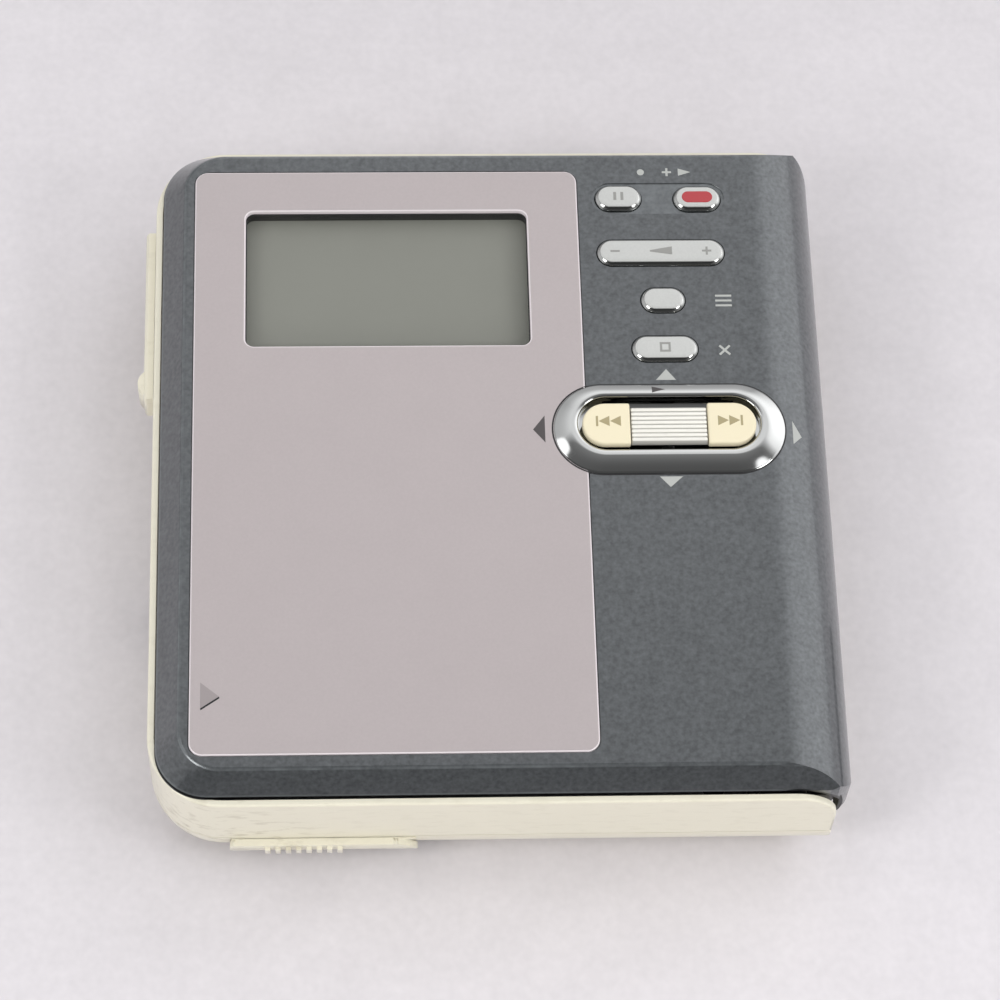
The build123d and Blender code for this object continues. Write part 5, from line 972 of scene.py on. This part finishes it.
@dataclass
class Lid:
    """Lid shell with its rolled end, the display panel with its opening and the printed marks."""

    shop: Workshop
    axis: Span = (30.95, 12.7)
    roll: float = 8.0
    roll_slack: float = 0.04
    roll_facing: float = 0.97
    panel_top: float = 20.82
    panel_x: Span = (-34.23, 10.62)
    panel_y: Span = (-37.49, 36.91)
    panel_rim: tuple = ((0.0, -0.55), (0.0, -0.15), (0.03, -0.07), (0.09, -0.02), (0.2, 0.0))
    window_x: Span = (-28.3, 4.6)
    window_y: Span = (13.4, 31.5)
    window_lip: tuple = ((-0.25, 0.0), (-0.1, -0.02), (-0.03, -0.08), (0.0, -0.16), (0.0, -0.6))
    window_wall: tuple = ((-0.02, 20.2), (0.12, 20.2), (0.12, 20.0), (0.02, 18.78), (-0.1, 18.78))
    flat_x: Span = (-33.5, 7.2)
    flat_y: Span = (-36.8, 36.2)
    bay: tuple[float, float, float] = (12.5, 2.3, 4.6)
    bay_steps: int = 16
    liner: Span = (6.45, 6.88)
    liner_turn: Span = (-17.5, 45.0)
    liner_y: Span = (-40.6, 40.6)

    def build(self) -> None:
        """Make the shell, the panel, the display's black wall of painted shade and the lining of the roll."""
        self.shop.from_node("lid_shell", normals=self.skin_normals)
        self.panel()
        self.frame()
        self.lining()

    def lining(self) -> None:
        """Dark sleeve inside the roll: points at two radii about the hinge axis, carried along it."""
        turn = np.radians(np.linspace(*self.liner_turn, 22))
        around = np.concatenate([turn, turn[::-1]])
        reach = np.repeat(self.liner, len(turn))
        section = self.axis + reach[:, None] * np.stack([np.cos(around), np.sin(around)], 1)
        self.shop.extruded("roll_lining", section, self.liner_y, 1, "lid", Look.black, "black_plastic")

    def skin_height(self, places: np.ndarray) -> np.ndarray:
        """Height of the skin under points (n, 2): flat, and past the hinge axis the roll's circle."""
        beyond = np.maximum(places[:, 0] - self.axis[0], 0)
        return self.axis[1] + np.sqrt(self.roll ** 2 - beyond ** 2)

    def skin_normals(self, places: np.ndarray, faces: np.ndarray, corners: np.ndarray) -> np.ndarray:
        """Normals of the rolled end: the direction from the hinge axis, where a corner lies on the roll.

        Args:
            places: corner places in millimetres.
            faces: normal of the face of each corner.
            corners: normals so far.

        Returns:
            The normals.
        """
        away = places - np.array([self.axis[0], 0, self.axis[1]])
        away[:, 1] = 0
        distance = np.linalg.norm(away, axis=1)
        radial = away / np.maximum(distance, 1e-9)[:, None]
        facing = (radial * faces).sum(1)
        on_roll = (np.abs(distance - self.roll) < self.roll_slack) & (facing > self.roll_facing)
        on_roll &= places[:, 0] > self.axis[0] - 10 * HAIR
        return np.where(on_roll[:, None], radial, corners)

    def rounded(self, span_x: tuple, span_y: tuple, radius: float, inset: float) -> np.ndarray:
        """Outline points of a rounded rectangle, moved in by an inset.

        Args:
            span_x: left and right.
            span_y: front and back.
            radius: corner radius.
            inset: how far in.

        Returns:
            Points (n, 2).
        """
        centre = (sum(span_x) / 2, sum(span_y) / 2)
        points, outward = outline(span_x[1] - span_x[0], span_y[1] - span_y[0], radius, centre, 10)
        return points - inset * outward

    def with_bay(self, inset: float) -> np.ndarray:
        """Panel outline with a round bay in its right side for the control pad.

        The bay's points are its middle plus its radius times (minus cosine, sine) of an even turn.

        Args:
            inset: how far in.

        Returns:
            Points (n, 2).
        """
        reach = self.bay[2] + inset
        half = math.acos((self.bay[0] - self.panel_x[1] + inset) / reach)
        turn = np.linspace(-half, half, self.bay_steps)
        bay = np.stack([self.bay[0] - reach * np.cos(turn), self.bay[1] + reach * np.sin(turn)], 1)
        return np.concatenate([self.rounded(self.panel_x, self.panel_y, 1.5, inset), bay])

    def with_side(self, span_x: tuple, span_y: tuple, inset: float, side: tuple) -> np.ndarray:
        """Rounded rectangle with as many points again on its right side as the bay has.

        Args:
            span_x: left and right.
            span_y: front and back.
            inset: how far in.
            side: front and back end of the added points.

        Returns:
            Points (n, 2).
        """
        level = np.full(self.bay_steps, span_x[1] - inset)
        added = np.column_stack([level, np.linspace(*side, self.bay_steps)])
        return np.concatenate([self.rounded(span_x, span_y, 1.0, inset), added])

    def stacked(self, rows: list) -> np.ndarray:
        """Grid of outlines (n, 2), each at a height of its own."""
        return np.stack([np.column_stack([points, np.full(len(points), z)]) for points, z in rows])

    def panel(self) -> None:
        """Flat plate between its outline and the opening, with round edges at both."""
        top = self.panel_top
        rows = [(self.with_bay(inset), top + drop) for inset, drop in self.panel_rim]
        bay = rows[-1][0][-self.bay_steps:, 1]
        rows.append((self.with_side(self.flat_x, self.flat_y, 0.0, (bay[0], bay[-1])), top))
        side = (self.window_y[0] + 1.4, self.window_y[1] - 1.4)
        rows += [(self.with_side(self.window_x, self.window_y, inset, side), top + drop)
                 for inset, drop in self.window_lip]
        obj = self.shop.from_grids("panel_plate", [self.stacked(rows)], True, True, sharp=35)
        self.shop.even(obj.data, None)
        self.shop.dress(obj, Look.panel, "lid", "panel_metal", "display_panel")

    def frame(self) -> None:
        """Black wall round the display, from the panel down to the display cell, as painted shade."""
        rows = [(self.rounded(self.window_x, self.window_y, 1.0, inset), height)
                for inset, height in self.window_wall]
        # painted shade: the opening's wall is black
        obj = self.shop.from_grids("display_shade_wall", [self.stacked(rows)], True, True, sharp=35)
        self.shop.dress(obj, Look.black, "lid", "black_plastic")


@dataclass
class Signs:
    """Printed and filled signs: plain arrows, bars, dots and crosses, each a thin plate on its ground."""

    shop: Workshop
    lid: Lid
    pad: ControlPad
    keys: Keys
    film: float = 0.012
    sunk: float = 0.03
    spans: int = 5
    bar: float = 0.13
    key_half: float = 0.55
    legend_y: float = 36.8
    menu: Span = (27.2, 19.2)
    cross: Span = (27.0, 12.6)
    play: Span = (19.0, 7.2)
    rocker_reach: float = 5.37
    pause_reach: float = 0.42
    square: float = 0.5
    cap_start: float = 5.55
    cap_arrow: Span = (1.25, 0.66)
    cap_space: float = 0.05
    cap_y: float = 2.84
    column: float = 20.03
    lid_arrows: tuple = (
        ((20.06, 10.13), (18.84, 8.7), (21.15, 8.7)),
        ((19.89, -5.14), (21.33, -3.8), (18.7, -3.8)),
        ((35.36, 1.79), (34.3, 3.62), (34.3, 0.64)),
    )
    panel_arrow: tuple = ((4.48, 2.29), (5.85, 0.61), (5.85, 4.1))
    corner_arrow: tuple = ((-30.94, -30.53), (-33.0, -28.83), (-33.0, -31.94))

    def build(self) -> None:
        """Make every sign."""
        for number, points in enumerate(self.lid_arrows):
            self.printed(f"lid_arrow_{number}", [points])
        ground = self.flat(self.lid.panel_top)
        self.sign("panel_arrow", [self.panel_arrow], ground, Look.dark_mark, "lid", "panel_metal")
        self.corner()
        self.legends()
        self.key_signs()
        self.cap_signs(Side.LEFT, "skip_back_sign")
        self.cap_signs(Side.RIGHT, "skip_forward_sign")
        play = [self.pointer(self.play, 0.75, 0.48)]
        self.sign("play_sign", play, self.pad.rear_height, Look.dark_mark, "lid", "bright_ring")

    def printed(self, name: str, parts: list) -> None:
        """Pale print on the lid's skin."""
        self.sign(name, parts, self.lid.skin_height, Look.pale_print, "lid", "lid_paint")

    def corner(self) -> None:
        """Shallow arrow at the panel's front left corner, with its shaded lower edge."""
        ground = self.flat(self.lid.panel_top)
        self.sign("corner_arrow", [self.corner_arrow], ground, Look.sunk_mark, "lid", "panel_metal")
        tip, _, foot = (np.array(point) for point in self.corner_arrow)
        low = np.array([0.06, -0.2])
        edge = [foot, foot + low, tip + low, tip]
        self.sign("corner_arrow_shade", [edge], ground, Look.black, "lid", "panel_metal", self.film * 1.5)

    def legends(self) -> None:
        """Small generic signs beside the keys: dot, plus and arrow; three lines; a cross."""
        y = self.legend_y
        record = [self.dot((18.3, y), 0.42), *self.plus((21.4, y), 0.55), self.pointer((23.5, y), 0.75, 0.5)]
        self.printed("record_legend", record)
        x, y = self.menu
        lines = [self.stroke((x, y + rise), 0.95, self.bar) for rise in (-0.65, 0.0, 0.65)]
        self.printed("menu_legend", lines)
        self.printed("cancel_legend", self.plus(self.cross, 0.85, 45))

    def key_signs(self) -> None:
        """Minus, wedge and plus on the volume key, two bars on the pause key and a square on the stop key."""
        x, y = self.keys.places["volume_rocker"][:2]
        wedge = [(x - 1.3, y - 0.1), (x + 1.3, y - 0.5), (x + 1.3, y + 0.6), (x - 1.3, y + 0.1)]
        volume = [self.stroke((x - self.rocker_reach, y), self.key_half, self.bar),
                  *self.plus((x + self.rocker_reach, y), self.key_half), wedge]
        x, y = self.keys.places["pause_button"][:2]
        pause = [self.stroke((x + side * self.pause_reach, y + 0.05), self.key_half, 0.17, 90)
                 for side in Side]
        x, y = self.keys.places["cancel_button"][:2]
        reach = self.square
        stop = [self.stroke((x, y + side * reach), reach + self.bar, self.bar) for side in Side]
        stop += [self.stroke((x + side * reach, y), reach - self.bar, self.bar, 90) for side in Side]
        ground = self.flat(self.keys.top)
        for node, parts in (("volume_rocker", volume), ("pause_button", pause), ("cancel_button", stop)):
            self.sign(f"{node}_sign", parts, ground, Look.key_mark, BODY_OF[node], SLOT_OF[node])

    def cap_signs(self, side: Side, name: str) -> None:
        """Two arrows and a bar on a cap, pointing outwards.

        Args:
            side: which cap.
            name: the sign's name.
        """
        length, rise = self.cap_arrow
        start, y = self.column + side * self.cap_start, self.cap_y
        parts = []
        for number in range(2):
            base = start + side * number * (length + self.cap_space)
            parts.append([(base, y + rise), (base, y - rise), (base + side * length, y)])
        tip = start + side * (2 * (length + self.cap_space) + self.bar)
        parts.append(self.stroke((tip, y), rise, self.bar, 90))
        self.sign(name, parts, self.flat(self.pad.cap_top), Look.cap_mark, "bar", "cream_cap")

    def flat(self, height: float) -> Callable:
        """Ground at one height."""
        return lambda places: np.full(len(places), height)

    def stroke(self, centre: tuple, half: float, breadth: float, turn: float = 0.0) -> np.ndarray:
        """Straight bar about a centre.

        Args:
            centre: its middle.
            half: half its length.
            breadth: half its breadth.
            turn: how far it is turned, in degrees.

        Returns:
            Its corners (4, 2).
        """
        corners = np.array([(half, breadth), (-half, breadth), (-half, -breadth), (half, -breadth)])
        cosine, sine = math.cos(math.radians(turn)), math.sin(math.radians(turn))
        return np.array(centre) + corners @ np.array([[cosine, sine], [-sine, cosine]])

    def plus(self, centre: tuple, half: float, turn: float = 0.0) -> list[np.ndarray]:
        """Plus or cross: one whole bar and two half bars that meet it.

        Args:
            centre: its middle.
            half: half its size.
            turn: how far it is turned, in degrees.

        Returns:
            The corners of the three bars.
        """
        cross = math.radians(turn + 90)
        away = (half + self.bar) / 2 * np.array([math.cos(cross), math.sin(cross)])
        halves = [self.stroke(np.array(centre) + side * away, (half - self.bar) / 2, self.bar, turn + 90)
                  for side in Side]
        return [self.stroke(centre, half, self.bar, turn), *halves]

    def pointer(self, centre: tuple, half: float, rise: float) -> np.ndarray:
        """Arrow head that points to the right."""
        return np.array(centre) + np.array([(half, 0), (-half, rise), (-half, -rise)])

    def dot(self, centre: tuple, radius: float) -> np.ndarray:
        """Round dot: centre plus radius times (cosine, sine) of an evenly turning angle."""
        turn = np.linspace(0, 2 * math.pi, 21)[:-1]
        return np.array(centre) + radius * np.stack([np.cos(turn), np.sin(turn)], 1)

    def sign(self, name: str, parts: list, ground: Callable, finish: Finish, body: str, slot: str,
             film: Optional[float] = None) -> None:
        """Thin plates that follow their ground.

        Each is a set of rings from the rim to the middle, at the ground's height plus the film.

        Args:
            name: the piece's name.
            parts: convex outlines in X and Y.
            ground: gives the height under points in X and Y.
            finish: its finish.
            body: the body that it rides on.
            slot: its material slot.
            film: how far it stands proud.
        """
        film = film or self.film
        levels = ((1.0, -self.sunk), (1.0, film * 0.6), (0.95, film), (0.6, film), (0.2, film), (0.03, film))
        grids = []
        for outline_points in parts:
            corners = np.array(outline_points, float)
            step = np.linspace(0, 1, self.spans + 1)[:-1, None]
            sides = zip(corners, np.roll(corners, -1, 0))
            rim = np.concatenate([first + (last - first) * step for first, last in sides])
            centre = corners.mean(0)
            rings = []
            for share, rise in levels:
                flat = centre + (rim - centre) * share
                rings.append(np.column_stack([flat, ground(flat) + rise]))
            grids.append(np.stack(rings))
        obj = self.shop.from_grids(name, grids, False, True, True, 20)
        self.shop.dress(obj, finish, body, slot)


@dataclass
class Deck:
    """Every other CAD node, as a smoothed copy.

    The battery door has a ledge behind its upper edge and a sill under the case's wall.
    """

    shop: Workshop
    ledge_x: Span = (-29.9, -9.4)
    door_ledge: tuple = ((-42.12, 7.15), (-41.97, 7.2), (-41.97, 7.57), (-42.12, 7.59))
    case_ledge: tuple = ((-41.94, 7.61), (-41.2, 7.61), (-41.2, 7.89), (-41.94, 7.89))

    def build(self) -> None:
        """Copy the nodes that no other piece has replaced, and add the ledges."""
        for node, obj in NODES.items():
            if not obj.hide_render:
                self.shop.from_node(node)
        for body, section in (("door", self.door_ledge), ("case", self.case_ledge)):
            self.shop.extruded(f"{body}_ledge", section, self.ledge_x, 0, body, Look.case, "silver_plastic")


@dataclass(frozen=True)
class Lamp:
    """One area lamp: where it stands and its two sizes in metres, its watts, whether reflections see it."""

    name: str
    place: tuple[float, float, float]
    size: Span
    power: float
    mirrored: bool


@dataclass(frozen=True)
class Patch:
    """Soft round patch of the room: the cosine of the angle to a direction, cut at an edge."""

    direction: tuple[float, float, float]
    edge: float
    soft: float
    level: float


@dataclass
class Studio:
    """Floor, lamps, world and camera.

    Two soft boxes stand at the front corners; wide ones overhead and in front give no highlight. The
    room is brighter behind and at both sides, dark where the camera stands, with two small glints.
    """

    floor_look: Finish = Finish("floor_felt", linear(214, 210, 213), 0.8, mottle=0.03, mottle_size=7.0,
                                grain=0.03, grain_size=1.2)
    card_look: Finish = Finish("dark_card", linear(50, 52, 54), 0.9)
    floor_reach: float = 1.6
    cards: tuple = (
        ("front_card", (-0.12, -0.11, 0.0), (0.12, -0.11, 0.035)),
        ("side_card", (0.07, -0.055, 0.001), (0.07, -0.005, 0.006)),
    )
    lamps: tuple[Lamp, ...] = (
        Lamp("left_box", (-0.42, -0.25, 0.42), (0.24, 0.24), 1.1, True),
        Lamp("right_box", (0.46, -0.24, 0.42), (0.24, 0.24), 1.1, True),
        Lamp("top_box", (0.0, -0.1, 0.6), (0.6, 0.6), 1.06, False),
        Lamp("front_box", (0.0, -0.7, 0.3), (0.6, 0.4), 1.7, False),
    )
    aim: tuple[float, float, float] = (0, 0, 0.01)
    room_base: float = 0.36
    bright: tuple[Patch, ...] = (
        Patch((0.05, 0.52, 0.85), 0.86, 0.12, 0.75),
        Patch((0.8, 0.42, 0.42), 0.86, 0.1, 1.5),
        Patch((-0.98, 0.05, 0.18), 0.85, 0.2, 0.5),
        Patch((0.09, 0.88, 0.46), 0.94, 0.05, 0.45),
    )
    dark: tuple[Patch, ...] = (
        Patch((0.0, -0.33, 0.944), 0.74, 0.04, 0.72),
        Patch((0.0, -0.98, 0.05), 0.75, 0.2, 0.8),
    )
    glints: tuple[Patch, ...] = (
        Patch((0.46, -0.08, 0.885), 0.9915, 0.002, 2.0),
        Patch((-0.5, 0.18, 0.853), 0.9925, 0.002, 2.0),
    )
    room_colour: Colour = (0.98, 0.98, 1.0, 1.0)
    room_level: float = 0.88
    headroom: float = 2.0
    camera_place: tuple = (-17.647, -190.578, 381.849)
    tilt: float = 27.1048
    yaw: float = 5.7582
    roll: float = -4.67768
    lens: float = 129.51
    sensor: float = 36.0
    shift: Span = (-0.00378, 0.00029)
    clip: Span = (0.02, 20.0)

    def build(self) -> None:
        """Set everything up."""
        self.floor()
        for name, low, high in self.cards:
            self.card(name, low, high)
        for lamp in self.lamps:
            self.light(lamp)
        self.world()
        self.camera()

    def sheet(self, name: str, corners: list, finish: Finish) -> bpy.types.Object:
        """Flat four-cornered sheet.

        Args:
            name: its name.
            corners: its corners in metres, in order.
            finish: its finish.

        Returns:
            The object.
        """
        mesh = bpy.data.meshes.new(name)
        mesh.from_pydata(corners, [], [(0, 1, 2, 3)])
        mesh.materials.append(finish.material())
        return self.linked(name, mesh)

    def linked(self, name: str, data: bpy.types.ID) -> bpy.types.Object:
        """Object of a mesh, a lamp or a camera, linked to the scene.

        Args:
            name: its name.
            data: what it shows.

        Returns:
            The object.
        """
        obj = bpy.data.objects.new(name, data)
        bpy.context.scene.collection.objects.link(obj)
        return obj

    def floor(self) -> None:
        """Wide pale table top."""
        far = self.floor_reach
        corners = [(-far, -far, 0), (far, -far, 0), (far, far, 0), (-far, far, 0)]
        obj = self.sheet("floor", corners, self.floor_look)

    def card(self, name: str, low: tuple, high: tuple) -> None:
        """Upright dark card that only reflections see, as a photographer's clothes would be.

        Args:
            name: its name.
            low: one lower corner in metres.
            high: the opposite upper corner.
        """
        corners = [low, (high[0], high[1], low[2]), high, (low[0], low[1], high[2])]
        obj = self.sheet(name, corners, self.card_look)
        obj.visible_camera = obj.visible_diffuse = obj.visible_shadow = obj.visible_transmission = False

    def light(self, lamp: Lamp) -> None:
        """Set up one area lamp, aimed at the object.

        Args:
            lamp: what it is like.
        """
        data = bpy.data.lights.new(lamp.name, "AREA")
        data.shape = "RECTANGLE"
        data.size, data.size_y = lamp.size
        data.energy = lamp.power
        obj = self.linked(lamp.name, data)
        obj.visible_glossy = lamp.mirrored
        obj.location = lamp.place
        aim = Vector(self.aim) - Vector(lamp.place)
        obj.rotation_euler = aim.to_track_quat("-Z", "Y").to_euler()

    def world(self) -> None:
        """Room from its patches: bright ones add to the base, dark ones dim it, glints come last.

        A colour socket stops at 1, so the level is divided by the headroom there and multiplied again
        in the strength.
        """
        world = bpy.data.worlds.new("room")
        bpy.context.scene.world = world
        world.use_nodes = True
        sheet = ShaderSheet(world.node_tree)
        where = sheet.node("ShaderNodeTexCoord").outputs["Generated"]
        parts = sheet.node("ShaderNodeSeparateXYZ", inputs={0: where})
        axes = [Value(sheet, output) for output in parts.outputs]

        def spot(patch: Patch) -> Value:
            """Level that a patch gives in each direction of the room."""
            x, y, z = (axis * share for axis, share in zip(axes, patch.direction))
            return (x + y + z).above(patch.edge, patch.soft) * patch.level

        level = sum((spot(patch) for patch in self.bright), self.room_base)
        for patch in self.dark:
            level = level * (1 - spot(patch))
        level = sum((spot(patch) for patch in self.glints), level)
        colour = sheet.mix(level * (1 / self.headroom), (0.0, 0.0, 0.0, 1.0), self.room_colour)
        strength = self.headroom * self.room_level
        shade = sheet.node("ShaderNodeBackground", None, {"Color": colour, "Strength": strength})
        sheet.node("ShaderNodeOutputWorld", None, {"Surface": shade.outputs[0]})

    def camera(self) -> None:
        """Camera at the solved place, rolled a little."""
        data = bpy.data.cameras.new("camera")
        data.lens = self.lens
        data.sensor_width = self.sensor
        data.shift_x, data.shift_y = self.shift
        data.clip_start, data.clip_end = self.clip
        obj = self.linked("camera", data)
        turn = Matrix.Identity(4)
        for angle, axis in ((self.roll, "Z"), (-self.tilt, "X"), (self.yaw, "Z")):
            turn = turn @ Matrix.Rotation(math.radians(angle), 4, axis)
        place = Matrix.Translation(Vector(self.camera_place) * MM)
        obj.matrix_world = place @ turn.transposed()
        bpy.context.scene.camera = obj


def main() -> None:
    """Build the player and its studio."""
    logging.basicConfig(level=logging.INFO, format="%(name)s: %(message)s")
    shop = Workshop()
    keys, pad, lid = Keys(shop), ControlPad(shop), Lid(shop)
    for assembly in (keys, pad, lid, Signs(shop, lid, pad, keys), Deck(shop), Studio()):
        LOG.info("building %s", type(assembly).__name__)
        assembly.build()
    bpy.context.scene.view_settings.view_transform = "Standard"
    LOG.info("%d pieces", len(shop.made))


if __name__ == "__main__":
    main()
